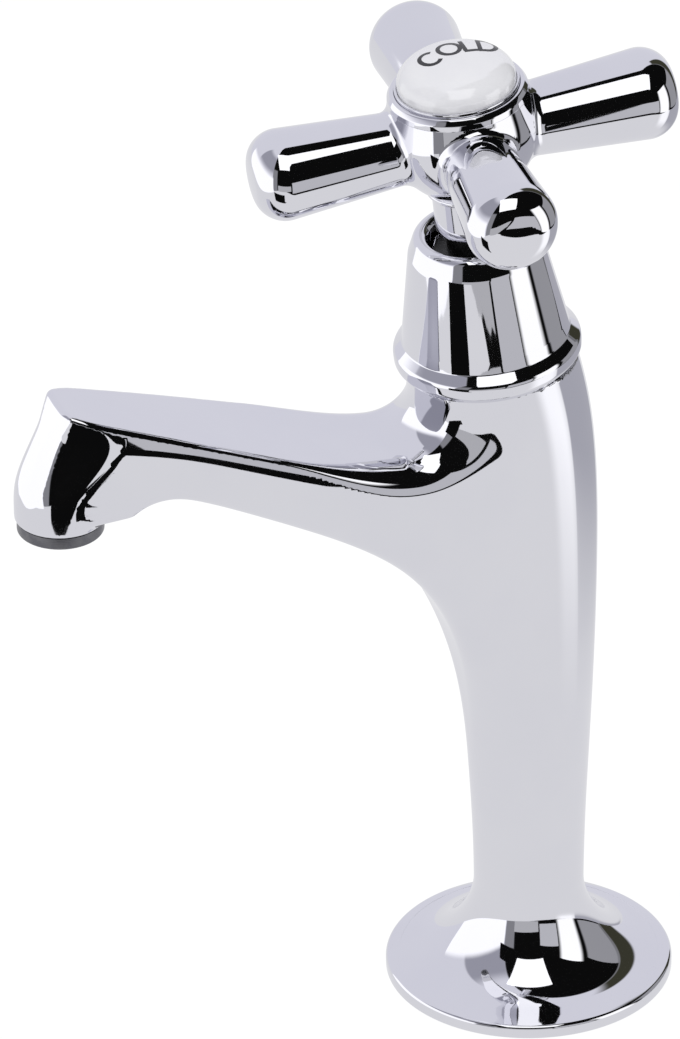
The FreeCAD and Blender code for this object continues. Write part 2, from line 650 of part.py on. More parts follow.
def jumper_plate_low():
    return SEAT_HEIGHT + SEAT_GAP + SEAT_WASHER_THICKNESS + SEAT_GAP


def make_jumper():
    """Plunger that slides in the skirt and is lifted by the spindle's screw."""
    low = jumper_plate_low()
    shank_low = low + JUMPER_PLATE_THICKNESS
    top = shank_low + JUMPER_LENGTH
    screw_foot = collar_face() - SPINDLE_COLLAR_HEIGHT - SCREW_LENGTH
    jumper = disc(JUMPER_PLATE_R, low, shank_low)
    jumper = jumper.fuse(guide_form(JUMPER_R, JUMPER_FLATS, shank_low, top))
    jumper = jumper.fuse(disc(WASHER_STUD_R, low - STUD_LENGTH, low))
    return on_valve(jumper.cut(disc(SCREW_R + RUN, screw_foot - LIFT - OVER, top + OVER)))


def make_seat_washer():
    low = SEAT_HEIGHT + SEAT_GAP
    return on_valve(ring(SEAT_WASHER_R, WASHER_STUD_R + RUN, low, low + SEAT_WASHER_THICKNESS))


def make_washer_nut():
    nut = prism(WASHER_NUT_FLATS, 6, SEAT_HEIGHT - WASHER_NUT_THICKNESS, SEAT_HEIGHT)
    return on_valve(nut.cut(disc(WASHER_STUD_R + RUN, SEAT_HEIGHT - STUD_LENGTH, SEAT_HEIGHT + OVER)))


# ---- Bell cover ----------------------------------------------------------------------------------


def make_bell_cover():
    """Plated shell over the headwork: bead at its foot, cone, rounded lip, and a web inside."""
    web_top = BELL_WEB_HEIGHT + BELL_WEB_THICKNESS
    slope = (BELL_NECK_R - BELL_TOP_R) / (BELL_SHOULDER_HEIGHT - BELL_NECK_HEIGHT)

    def wall_at(height):
        return BELL_NECK_R - slope * (height - BELL_NECK_HEIGHT) - BELL_WALL

    bell = turned([
        (BELL_FOOT_BORE_R, SEAT_GAP), (BELL_FOOT_R, SEAT_GAP),
        (BELL_BEAD_R, BELL_BEAD_TOP / 2, 1), (BELL_FOOT_R, BELL_BEAD_TOP),
        (BELL_NECK_R + BELL_FILLET_OUT, BELL_BEAD_TOP + BELL_FILLET_UP, 1),
        (BELL_NECK_R, BELL_NECK_HEIGHT), (BELL_TOP_R, BELL_SHOULDER_HEIGHT),
        (BELL_TOP_R - BELL_ROUND_IN, BELL_HEIGHT - BELL_ROUND_DOWN, 1), (BELL_LIP_R, BELL_HEIGHT),
        (BELL_HOLE_R + BELL_LIP_IN, BELL_HEIGHT - BELL_LIP_DOWN, 1),
        (BELL_HOLE_R, BELL_HEIGHT - BELL_LIP_DEPTH), (BELL_HOLE_R, BELL_HEIGHT - BELL_HOLE_DEPTH),
        (BELL_TOP_R - BELL_WALL, BELL_SHOULDER_HEIGHT - BELL_WALL),
        (wall_at(web_top), web_top), (GLAND_R + LOOSE, web_top),
        (GLAND_R + LOOSE, BELL_WEB_HEIGHT), (wall_at(BELL_WEB_HEIGHT), BELL_WEB_HEIGHT),
        (BELL_NECK_R - BELL_WALL, BELL_NECK_HEIGHT),
        (BELL_FOOT_BORE_R, BELL_BEAD_TOP - BELL_WALL / 2)])
    return on_valve(bell)


def make_cover_nut():
    """Slotted ring nut on the gland that holds the bell down."""
    low = BELL_WEB_HEIGHT + BELL_WEB_THICKNESS + SEAT_GAP
    top = low + COVER_NUT_THICKNESS
    nut = ring(COVER_NUT_R, GLAND_R + RUN, low, top)
    slot = Part.makeBox(4 * COVER_NUT_R, COVER_NUT_SLOT, COVER_NUT_THICKNESS,
                        Vec(-2 * COVER_NUT_R, -COVER_NUT_SLOT / 2, top - COVER_NUT_SLOT))
    return on_valve(nut.cut(slot))


# ---- Cross handle --------------------------------------------------------------------------------


def handle_arm(angle):
    """Tapered arm with a rounded, slightly domed end, turned about its own axis."""
    shank = ARM_REACH - ARM_END_DOME - ARM_END_ROUND
    rim = ARM_END_R - ARM_END_ROUND
    arm = turned([
        (0, 0), (ARM_ROOT_R, 0), (ARM_END_R, shank),
        (rim + ARM_END_ROUND * math.sin(PI / 4), shank + ARM_END_ROUND * math.sin(PI / 4), 1),
        (rim, shank + ARM_END_ROUND), (rim / 2, ARM_REACH - ARM_END_DOME / 4, 1),
        (ARM_END_FLAT_R, ARM_REACH), (0, ARM_REACH)])
    arm.rotate(Vec(0, 0, 0), Vec(0, 1, 0), 90)
    arm.rotate(Vec(0, 0, 0), Vec(0, 0, 1), angle)
    arm.translate(Vec(0, 0, ARM_HEIGHT))
    return arm


def recess_floor():
    return HUB_TOP - CAP_RECESS_DEPTH


def well_floor():
    return recess_floor() - SCREW_WELL_DEPTH


def make_cross_handle():
    """One casting: neck, bowl-shaped hub and four arms, hollow for the spindle and the index cap."""
    ring_top = HUB_BOTTOM + HUB_RING_HEIGHT
    hub = turned([
        (0, HANDLE_NECK_BOTTOM), (HANDLE_NECK_R - HANDLE_NECK_CHAMFER, HANDLE_NECK_BOTTOM),
        (HANDLE_NECK_R, HANDLE_NECK_BOTTOM + HANDLE_NECK_CHAMFER), (HANDLE_NECK_R, HUB_BOTTOM),
        (HUB_RING_R, HUB_BOTTOM + HUB_RING_HEIGHT / 2, 1), (HUB_BOWL_R, ring_top),
        (HUB_R - BOWL_MID_IN, (ring_top + HUB_R_HEIGHT) / 2 - BOWL_MID_DOWN, 1),
        (HUB_R, HUB_R_HEIGHT), (HUB_SHOULDER_R, HUB_SHOULDER_HEIGHT),
        (HUB_RIM_R + RIM_MID_OUT, HUB_TOP - RIM_MID_DOWN, 1), (HUB_RIM_R, HUB_TOP), (0, HUB_TOP)])
    for k in range(ARM_COUNT):
        hub = hub.fuse(handle_arm(ARM_TURN_DEG + 360 * k / ARM_COUNT))
    top = HANDLE_WEB_BOTTOM + DRIVE_GRIP
    hollow = disc(HANDLE_CORE_R, HANDLE_NECK_BOTTOM - OVER, HANDLE_WEB_BOTTOM)
    hollow = hollow.fuse(prism(DRIVE_FLATS + 2 * RUN, 4, HANDLE_WEB_BOTTOM - OVER, top))
    hollow = hollow.fuse(disc(SCREW_SHANK_R + LOOSE, top - OVER, well_floor() + OVER))
    hollow = hollow.fuse(disc(SCREW_WELL_R, well_floor(), recess_floor() + OVER))
    hollow = hollow.fuse(disc(CAP_RECESS_R, recess_floor(), HUB_TOP + OVER))
    return on_valve(hub.cut(hollow))


def make_lock_washer():
    low = well_floor() + SEAT_GAP
    return on_valve(ring(SCREW_HEAD_R, SCREW_SHANK_R + RUN, low, low + LOCK_WASHER_THICKNESS))


def make_handle_screw():
    """Slotted cheese-head screw from the well of the hub into the spindle."""
    low = well_floor() + LOCK_WASHER_THICKNESS + 2 * SEAT_GAP
    foot = spindle_top() - SCREW_GRIP
    screw = disc(SCREW_SHANK_R, foot, low).fuse(disc(SCREW_HEAD_R, low, low + SCREW_HEAD_HEIGHT))
    slot = Part.makeBox(4 * SCREW_HEAD_R, SCREW_SLOT, SCREW_HEAD_HEIGHT,
                        Vec(-2 * SCREW_HEAD_R, -SCREW_SLOT / 2, low + SCREW_HEAD_HEIGHT - SCREW_SLOT))
    return on_valve(screw.cut(slot))


def make_index_cup():
    """Thin plated cup that is pressed into the hub and holds the insert."""
    low = recess_floor() + SEAT_GAP
    outer = CAP_RECESS_R - RUN
    cup = disc(outer, low, HUB_TOP + CUP_STAND)
    return on_valve(cup.cut(disc(outer - CUP_WALL, low + CUP_FLOOR, HUB_TOP + CUP_STAND + OVER)))


def make_index_insert():
    """White insert with a rounded shoulder and a domed top."""
    low = recess_floor() + 2 * SEAT_GAP + CUP_FLOOR
    edge = HUB_TOP + CUP_STAND + INDEX_EDGE
    outer = CAP_RECESS_R - 2 * RUN - CUP_WALL
    shoulder = edge + INDEX_SHOULDER
    top = shoulder + INDEX_DOME
    return on_valve(turned([
        (0, low), (outer, low), (outer, edge),
        ((outer + INDEX_SHOULDER_R) / 2 + INDEX_BULGE, edge + INDEX_SHOULDER / 2, 1),
        (INDEX_SHOULDER_R, shoulder),
        (INDEX_SHOULDER_R * INDEX_MID, top - INDEX_DOME * INDEX_MID ** 2, 1),
        (INDEX_FLAT_R, top), (0, top)]))


# ---- Export --------------------------------------------------------------------------------------

PIECES = {
    "tap_body": make_tap_body,
    "inlet_tail": make_inlet_tail,
    "base_washer": make_base_washer,
    "strap_washer": make_strap_washer,
    "fibre_washer": make_fibre_washer,
    "backnut": make_backnut,
    "outlet_nozzle": make_outlet_nozzle,
    "nozzle_seal": make_nozzle_seal,
    "flow_guide": make_flow_guide,
    "headwork_body": make_headwork_body,
    "headwork_seal": make_headwork_seal,
    "spindle": make_spindle,
    "spindle_o_rings": make_spindle_o_rings,
    "thrust_washer": make_thrust_washer,
    "spindle_circlip": make_spindle_circlip,
    "spindle_sleeve": make_spindle_sleeve,
    "jumper": make_jumper,
    "seat_washer": make_seat_washer,
    "washer_nut": make_washer_nut,
    "bell_cover": make_bell_cover,
    "cover_nut": make_cover_nut,
    "cross_handle": make_cross_handle,
    "lock_washer": make_lock_washer,
    "handle_screw": make_handle_screw,
    "index_cup": make_index_cup,
    "index_insert": make_index_insert,
}

os.makedirs("parts", exist_ok=True)
for name, make in PIECES.items():
    shape = make()
    print(f"{name:18s} solids {len(shape.Solids)} valid {shape.isValid()} volume {shape.Volume:9.1f}")
    shape.exportStep(os.path.join("parts", name + ".step"))
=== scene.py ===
# %% [markdown]
# # A cross handle basin tap
# The tap is polished chrome plate over cast and turned brass, with a white glazed index button.
# Chrome has no colour of its own: everything that the eye reads is the studio mirrored in its
# surface. So the casting and the handle are worked out as exact formulas, with their true normals,
# the turned pieces as profiles, and the studio is built with care: a pale room, a dark side by the
# camera, reflector cards and one soft box.

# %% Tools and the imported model
import json
import math

import bpy
import numpy as np
from mathutils import Matrix, Vector


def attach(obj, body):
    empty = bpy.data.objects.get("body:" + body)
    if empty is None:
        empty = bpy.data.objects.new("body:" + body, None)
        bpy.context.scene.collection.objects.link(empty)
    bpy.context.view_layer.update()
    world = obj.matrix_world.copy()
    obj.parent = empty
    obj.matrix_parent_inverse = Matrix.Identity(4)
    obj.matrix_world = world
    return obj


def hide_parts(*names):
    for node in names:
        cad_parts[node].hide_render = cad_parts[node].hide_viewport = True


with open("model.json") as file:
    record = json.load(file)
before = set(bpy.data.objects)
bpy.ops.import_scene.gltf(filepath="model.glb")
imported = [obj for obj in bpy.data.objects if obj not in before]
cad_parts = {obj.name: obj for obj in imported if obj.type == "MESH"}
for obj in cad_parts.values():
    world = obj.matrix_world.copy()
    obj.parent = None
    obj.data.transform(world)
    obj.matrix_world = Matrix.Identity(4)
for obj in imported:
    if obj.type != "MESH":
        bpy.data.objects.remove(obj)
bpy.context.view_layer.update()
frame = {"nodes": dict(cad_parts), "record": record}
nodes = frame["nodes"]
MM = 0.001
print("nodes in the frame:", len(nodes))

# %% [markdown]
# ## The camera
# A long lens from far away keeps the column's sides almost parallel. The camera is given as a
# photographer would note it: azimuth from the front, height angle, roll, distance, and the point
# that it looks at.

# %% Camera
AZIMUTH = math.radians(69.70)
ELEVATION = math.radians(30.66)
ROLL = math.radians(-0.61)
DISTANCE = 2.544
LENS = 474.7
LOOK_AT = Vector((-0.05127, -0.01746, 0.07090))

back = Vector((math.cos(ELEVATION) * math.sin(AZIMUTH), -math.cos(ELEVATION) * math.cos(AZIMUTH),
               math.sin(ELEVATION)))
level = Vector((math.cos(AZIMUTH), math.sin(AZIMUTH), 0.0))
right = Matrix.Rotation(ROLL, 3, back) @ level
above = back.cross(right)
camera = bpy.data.objects.new("camera", bpy.data.cameras.new("camera"))
camera.matrix_world = Matrix.Translation(LOOK_AT + back * DISTANCE) @ Matrix(
    (right, above, back)).transposed().to_4x4()
camera.data.lens = LENS
camera.data.sensor_width = 36.0
camera.data.clip_end = 50.0
bpy.context.scene.collection.objects.link(camera)
bpy.context.scene.camera = camera
print("camera at", [round(v, 3) for v in camera.matrix_world.translation])

# %% [markdown]
# ## Shader maths
# A shader node graph is easier to read as a formula. This class wraps one socket, so that sums,
# products and comparisons of sockets add their own Math nodes.

# %% Shader expressions
class Wire:
    """One output socket of a node tree, with arithmetic."""

    def __init__(self, tree, socket):
        self.tree = tree
        self.socket = socket

    def node(self, kind, settings=None, inputs=None, output=0):
        """Add a node of any type: its settings are set first, then its sockets."""
        made = self.tree.nodes.new(kind)
        for key, value in (settings or {}).items():
            setattr(made, key, value)
        for key, value in (inputs or {}).items():
            if isinstance(value, Wire):
                self.tree.links.new(value.socket, made.inputs[key])
            else:
                made.inputs[key].default_value = value
        return Wire(self.tree, made.outputs[output])

    def maths(self, operation, *values):
        """A Math node on the values, wires or numbers, in their order."""
        return self.node("ShaderNodeMath", {"operation": operation}, dict(enumerate(values)))

    def __add__(self, other):
        return self.maths("ADD", self, other)

    def __rsub__(self, other):
        return self.maths("SUBTRACT", other, self)

    def __mul__(self, other):
        return self.maths("MULTIPLY", self, other)

    def ease(self, low, high):
        """0 below low, 1 above high, smooth between."""
        settings = {"interpolation_type": "SMOOTHSTEP"}
        return self.node("ShaderNodeMapRange", settings, {"Value": self, 1: low, 2: high})

    def mix_colour(self, first, second):
        """first where this wire is 0, second where it is 1."""
        settings = {"data_type": "RGBA", "blend_type": "MIX"}
        return self.node("ShaderNodeMix", settings, {0: self, 6: first, 7: second}, output=2)


# %% Shader helpers
def components(tree, socket):
    """The x, y and z of a vector socket, as wires."""
    split = tree.nodes.new("ShaderNodeSeparateXYZ")
    tree.links.new(socket, split.inputs[0])
    return [Wire(tree, part) for part in split.outputs]


def mixed(tree, factor, first, second):
    """A shader that is first where the factor is 0 and second where it is 1."""
    mix = tree.nodes.new("ShaderNodeMixShader")
    for socket, entry in zip((factor, first, second), mix.inputs):
        tree.links.new(socket, entry)
    return mix.outputs[0]


def new_material(name):
    """An empty Principled material and its shader node."""
    material = bpy.data.materials.new(name)
    material.use_nodes = True
    return material, material.node_tree.nodes["Principled BSDF"]


# %% [markdown]
# ## The finishes
# No real surface is the same all over. Plating is a mirror with a faint cool tint, and its casting
# was polished by hand, so it is very slightly wavy and a little hazier in places. Brass and the
# nozzle's metal keep the fine rings of the lathe; steel, rubber, fibre and mouldings have a grain.
# One noise drives the colour and the haze of each finish, and a finer one its grain, all on Object
# coordinates.

# %% A grained finish
GRAIN_FINER = 4.0
MARK_SCALE = 900.0
MARK_HAZE = 0.06


def grained_finish(name, colour, second, haze, scale, metallic=0.0, coat=0.0, grain=0.0, rings=0.0):
    """A finish between two colours and, in haze, two roughnesses. Scale is in patches per metre,
    grain and rings are the heights of the bump and of the turning marks in millimetres."""
    material, shader = new_material(name)
    tree = material.node_tree
    shader.inputs["Metallic"].default_value = metallic
    shader.inputs["Coat Weight"].default_value = coat
    place = Wire(tree, tree.nodes.new("ShaderNodeTexCoord").outputs["Object"])
    patches = place.node("ShaderNodeTexNoise", {}, {"Vector": place, "Scale": scale, "Detail": 3.0})
    patches = patches.ease(0.35, 0.65)
    tint = patches.mix_colour((*colour, 1), (*second, 1))
    height = place.node("ShaderNodeTexNoise", {}, {"Vector": place, "Scale": GRAIN_FINER * scale})
    height = height * grain
    rough = patches * (haze[1] - haze[0]) + haze[0]
    if rings:
        marks = place.node("ShaderNodeTexWave", {"wave_type": "BANDS", "bands_direction": "Z"},
                           {"Vector": place, "Scale": MARK_SCALE, "Distortion": 0.6, "Detail": 2.0})
        height = height + marks * rings
        rough = rough + marks * MARK_HAZE
    bump = place.node("ShaderNodeBump", {}, {"Height": height * MM, "Strength": 1.0, "Distance": 1.0})
    tree.links.new(tint.socket, shader.inputs["Base Color"])
    tree.links.new(rough.socket, shader.inputs["Roughness"])
    tree.links.new(bump.socket, shader.inputs["Normal"])
    return material


# %% Finishes
chrome = grained_finish("polished_chrome", (0.80, 0.80, 0.835), (0.785, 0.785, 0.825),
                        (0.018, 0.038), 45, metallic=1.0, grain=0.002)
dark_metal = grained_finish("dark_nozzle_metal", (0.15, 0.15, 0.165), (0.19, 0.19, 0.20),
                            (0.26, 0.38), 400, metallic=1.0, rings=0.004)
brass = grained_finish("turned_brass", (0.72, 0.53, 0.25), (0.64, 0.45, 0.20),
                       (0.20, 0.34), 120, metallic=1.0, rings=0.012)
steel = grained_finish("spring_steel", (0.5, 0.5, 0.52), (0.42, 0.42, 0.45),
                       (0.22, 0.36), 300, metallic=1.0, grain=0.004)
rubber = grained_finish("black_rubber", (0.012, 0.012, 0.012), (0.022, 0.022, 0.022),
                        (0.52, 0.70), 500, grain=0.03)
fibre = grained_finish("red_fibre", (0.30, 0.06, 0.035), (0.20, 0.035, 0.02),
                       (0.72, 0.88), 700, grain=0.05)
white_moulding = grained_finish("white_moulding", (0.72, 0.72, 0.70), (0.68, 0.68, 0.655),
                                (0.38, 0.52), 350, grain=0.015)
grey_moulding = grained_finish("grey_moulding", (0.16, 0.165, 0.18), (0.13, 0.135, 0.15),
                               (0.44, 0.58), 350, grain=0.015)
black_moulding = grained_finish("black_moulding", (0.006, 0.006, 0.006), (0.011, 0.011, 0.011),
                                (0.30, 0.42), 350, grain=0.015)
white_glaze = grained_finish("white_glaze", (0.87, 0.87, 0.885), (0.85, 0.85, 0.87),
                             (0.06, 0.11), 160, coat=1.0, grain=0.004)
black_enamel = grained_finish("black_enamel", (0.010, 0.010, 0.012), (0.017, 0.017, 0.02),
                              (0.20, 0.32), 600, grain=0.004)

FINISH_OF_SLOT = {
    "plated_body": chrome, "dark_metal": dark_metal, "turned_brass": brass, "spring_steel": steel,
    "soft_seal": rubber, "fibre": fibre, "white_moulding": white_moulding,
    "grey_moulding": grey_moulding, "black_moulding": black_moulding, "white_glaze": white_glaze,
}
for part in frame["record"]["subparts"]:
    mesh = nodes[part["node"]].data
    mesh.materials.clear()
    mesh.materials.append(FINISH_OF_SLOT[part["material_slot"]])
print("finishes:", len(FINISH_OF_SLOT))

# %% [markdown]
# ## The tap's driving dimensions
# All lengths are in millimetres. The valve on top of the column leans towards the spout, so its
# pieces are worked out upright about their own axis and then leaned.

# %% Dimensions
COLUMN_R = 10.1
FLARE_START = 30.0
MOUTH = np.array([0.0, -7.43, 131.3])
LEAN = math.radians(5.9)
MOUTH_R = 15.5
SPOUT_REACH = 89.9
OUTLET_Z = 115.5
print("outlet:", SPOUT_REACH, "mm in front of the axis and", OUTLET_Z, "mm above the deck")


def lean(points):
    """Valve points, upright with height 0 at the mouth, moved to the row frame."""
    x, y, h = points[..., 0], points[..., 1], points[..., 2]
    return np.stack([x, MOUTH[1] + y * math.cos(LEAN) - h * math.sin(LEAN),
                     MOUTH[2] + y * math.sin(LEAN) + h * math.cos(LEAN)], -1)


def upright(x, y, z):
    """The inverse of lean: how far a point is across, along and above the valve."""
    y = y - MOUTH[1]
    z = z - MOUTH[2]
    return x, y * math.cos(LEAN) + z * math.sin(LEAN), z * math.cos(LEAN) - y * math.sin(LEAN)


# %% [markdown]
# ## Solids as distance formulas
# A casting has flats, rounded edges and fillets that run into each other. Written as signed
# distances, negative inside, two surfaces meet with a rounded edge or with a fillet by one short
# formula. The same formula gives the exact normal anywhere, which polished metal needs.

# %% Rounded edges, fillets and easing
def rounded_cut(a, b, radius):
    """What is inside both a and b; the edge between them is an arc of that radius."""
    a = a + radius
    b = b + radius
    return np.minimum(np.maximum(a, b), 0) + np.hypot(np.maximum(a, 0), np.maximum(b, 0)) - radius


def filleted_join(a, b, radius):
    """What is inside a or b, with a concave arc of that radius where they meet."""
    return -rounded_cut(-a, -b, radius)


def ease(value, low, high):
    """0 below low, 1 above high, with a smooth S between."""
    t = np.clip((value - low) / (high - low), 0, 1)
    return t * t * (3 - 2 * t)


def soft_min(a, b, width):
    """The smaller of two values, with the corner between them smoothed."""
    h = np.maximum(width - np.abs(a - b), 0) / width
    return np.minimum(a, b) - h * h * width / 4


def soft_max(a, b, width):
    """The larger of two values, with the corner between them smoothed."""
    return -soft_min(-a, -b, width)


# %% [markdown]
# ## Side outlines
# Seen from the side, the casting is three long curves: the front of the column that runs into the
# underside of the spout, the back of the column, and the top of the spout. Each is a smooth spline
# through a few points, and a point's distance from it is measured along the spline's normal.

# %% Outline curves
class Outline:
    """Smooth curve through (y, z) points, with the metal on its left."""

    STEP = 0.25
    CHUNK = 20000
    LEAST_SPREAD = 0.2

    def __init__(self, points):
        points = np.array(points, float)
        chord = np.concatenate([[0], np.cumsum(np.hypot(*np.diff(points, axis=0).T))])
        bend = self.bends(chord, points)
        self.s = np.arange(0, chord[-1], self.STEP)
        i = np.clip(np.searchsorted(chord, self.s, "right") - 1, 0, len(chord) - 2)
        h = (chord[i + 1] - chord[i])[:, None]
        b = ((self.s - chord[i]) / h[:, 0])[:, None]
        a = 1 - b
        self.at = (a * points[i] + b * points[i + 1]
                   + ((a ** 3 - a) * bend[i] + (b ** 3 - b) * bend[i + 1]) * h * h / 6)
        way = np.gradient(self.at, axis=0)
        way /= np.hypot(*way.T)[:, None]
        self.way = way
        self.out = np.stack([way[:, 1], -way[:, 0]], -1)
        self.curve = np.sum(np.gradient(way, axis=0) * self.out, 1) / np.hypot(
            *np.gradient(self.at, axis=0).T)

    def bends(self, s, points):
        """Second derivatives of the natural cubic spline through the points."""
        n = len(s)
        h = np.diff(s)
        m = np.eye(n)
        rhs = np.zeros((n, 2))
        for k in range(1, n - 1):
            m[k, k - 1:k + 2] = h[k - 1], 2 * (h[k - 1] + h[k]), h[k]
            rhs[k] = 6 * ((points[k + 1] - points[k]) / h[k] - (points[k] - points[k - 1]) / h[k - 1])
        return np.linalg.solve(m, rhs)

    def nearest(self, y, z):
        """Which sample of the curve is nearest to each point, worked out a chunk at a time."""
        y, z = np.broadcast_arrays(y, z)
        found = np.empty(y.size, int)
        flat = np.stack([y.ravel(), z.ravel()], -1)
        square = np.sum(self.at ** 2, 1)
        for k in range(0, len(flat), self.CHUNK):
            piece = flat[k:k + self.CHUNK]
            found[k:k + self.CHUNK] = np.argmin(square - 2 * piece @ self.at.T, 1)
        return found.reshape(y.shape)

    def distance(self, y, z, near):
        """Distance along the normal at the nearest sample, with the curve's bend taken off."""
        dy = y - self.at[near, 0]
        dz = z - self.at[near, 1]
        along = dy * self.way[near, 0] + dz * self.way[near, 1]
        off = dy * self.out[near, 0] + dz * self.out[near, 1]
        bend = self.curve[near]
        return off - 0.5 * bend * along ** 2 / np.maximum(1 - bend * off, self.LEAST_SPREAD)


underside = Outline([
    (-10.1, -12), (-10.1, 10), (-10.2, 25), (-11.1, 44.5), (-13.4, 66.1), (-17.6, 79.7),
    (-25.1, 92.3), (-38.5, 104.0), (-53.9, 112.4), (-65.0, 117.6), (-71.5, 119.7), (-75.6, 119.3),
    (-79.0, 117.4), (-82.0, 114.6), (-86.0, 110.0), (-92.0, 102.0)][::-1])
back_outline = Outline([
    (10.1, -12), (10.1, 10), (10.4, 28), (12.0, 60.7), (12.9, 86), (12.6, 106), (10.9, 121.1),
    (8.5, 131.5), (5.0, 143.0)])
top_outline = Outline([
    (30.0, 117.6), (0.0, 118.4), (-18.0, 118.3), (-30.0, 119.1), (-44.0, 122.6), (-62.0, 129.1),
    (-88.0, 138.6), (-104.0, 144.5)])
print("outline samples:", len(underside.s), len(back_outline.s), len(top_outline.s))

# %% [markdown]
# ## The casting
# The body is one casting. Its sides are nearly flat and a little crowned; its front and back are
# round low on the column and tighten to a crisp edge along the spout. The neck under the bell is a
# round cone that meets the spout's top in a hollow fillet, and the foot is a flange with a wide
# trumpet sweep.

# %% The casting's sizes
# the spout's plan
OUTLET_HALF = 7.9  # half its width over the outlet
SPOUT_TAPER = 0.105  # what the half width gains per millimetre towards the column
PLAN_BLEND = 1.5
# the bow of its sides
SIDE_BOW = 0.23
SIDE_TALLEST = 24  # the bow grows with the side's height, up to this one
BOW_LEVEL = 0.15  # how much of the bow is taken back, so that the edges draw in
# the radii of its edges
TOP_EDGE_R = 1.1
ROOT_EDGE_R = 4.5  # added to the top edge beside the neck
UNDER_EDGE_R = 2.4
TIP_EDGE_LESS = 1.6  # taken off the underside's edge at the tip
BACK_ROUND = 3.5  # added to the column's radius behind, higher up
# the neck under the bell
NECK_TAPER = 0.11
NECK_FILLET = 10.0
NECK_BEHIND = 5  # how far it gives way behind, to the back's outline
# the tip's end face
TIP_FOOT = (-99.9, 118.0)
TIP_FACE_WAY = (0.397, 0.918)
TIP_FACE_BOW_R = 45.0
TIP_CORNER_R = 1.5
# the outlet's barrel, and the bore in it
BARREL_R = 8.35
BARREL_ROOM = 0.8  # how far the sides are let out round it
BORE_R = 5.6
BORE_DEEP = 6.6
# between these heights the barrel's circle turns into two flatter arcs
TIP_LOW = 119.5
TIP_HIGH = 135.0
ARC_OFF_MIDDLE = 14.5  # how far across the middle their centres lie
ARC_BACK = 12  # how far back from the outlet's axis
ARC_WIDER = 0.68  # what their half width has over the barrel's
ARC_END = 2.4  # how far in front of their centres they begin to open
ARC_OPENS = 0.6  # how fast, in millimetres per millimetre
ARC_BLEND = 0.5
# the flange, and the recess under it
FLANGE_R = 26.5
FLANGE_RIM = 2.6
FLANGE_SLOPE = 0.277
FLANGE_SPREAD = 1.038  # length along the slope per millimetre across
RIM_INSET = 0.8
RIM_RING = 1.0  # how far the casting's own rim stays inside the turned ring
RIM_EDGE_R = 0.7
SWEEP_FILLET = 12.0
FOOT_EDGE_R = 0.3
RECESS_R = 22.5
RECESS_DEEP = 1.6
print("flange:", 2 * FLANGE_R, "mm across; barrel:", 2 * BARREL_R, "mm across")


# %% The casting's walls
def half_width(y, z):
    """The column flares as the square of the height; the spout tapers straight to its tip."""
    climb = np.maximum(z - FLARE_START, 0) / (MOUTH[2] - FLARE_START)
    front = COLUMN_R + (MOUTH_R - COLUMN_R) * climb ** 2
    plan = OUTLET_HALF + SPOUT_TAPER * (y + SPOUT_REACH)
    return soft_min(front, plan, PLAN_BLEND)


def side_wall(x, y, z, top, under):
    """The sides, bowed along the spout, and let out a little round the outlet's barrel."""
    tall = np.minimum(-(top + under), SIDE_TALLEST)
    depth = np.clip(top / (top + under - 1e-6), 0, 1)
    bow = ease(-y, 12, 34) * SIDE_BOW * np.maximum(tall, 0) * (depth * (1 - depth) - BOW_LEVEL)
    foot_round = ease(-z, -123, -116.5) * ease(-y, 76, 86)
    return np.abs(x) - half_width(y, z) - bow - BARREL_ROOM * foot_round


def tip_arc(x, y, z):
    """The tip turns in towards its end face: as the outlet's circle low down, and as two flatter
    arcs higher up, whose centres lie across the middle. Behind their widest place the arcs open
    and leave the sides alone, but the circle goes on round the barrel's back."""
    rise = ease(z, TIP_LOW, TIP_HIGH)
    off_middle = ARC_OFF_MIDDLE * ease(z, TIP_LOW, TIP_HIGH - 2)
    past = y - (ARC_BACK * rise - SPOUT_REACH)
    barrel_back = ease(-z, -120.5, -115.8) * ease(-y, 66, 74)
    beyond = np.maximum(past + ARC_END * rise, 0)
    turn = past - beyond * (1 - barrel_back)
    freed = ARC_OPENS * beyond * (1 - barrel_back)
    radius = BARREL_R + ARC_WIDER * rise + off_middle + freed
    return np.hypot(np.abs(x) + off_middle, turn) - radius


def end_face(x, y, z):
    """The tip's end leans forward and bows across its width."""
    return (-(y - TIP_FOOT[0]) * TIP_FACE_WAY[1] + (z - TIP_FOOT[1]) * TIP_FACE_WAY[0]
            + x * x / (2 * TIP_FACE_BOW_R))


def plate_top(radius):
    """Height of the flange's sloping top."""
    return FLANGE_RIM + FLANGE_SLOPE * (FLANGE_R - RIM_INSET - radius)


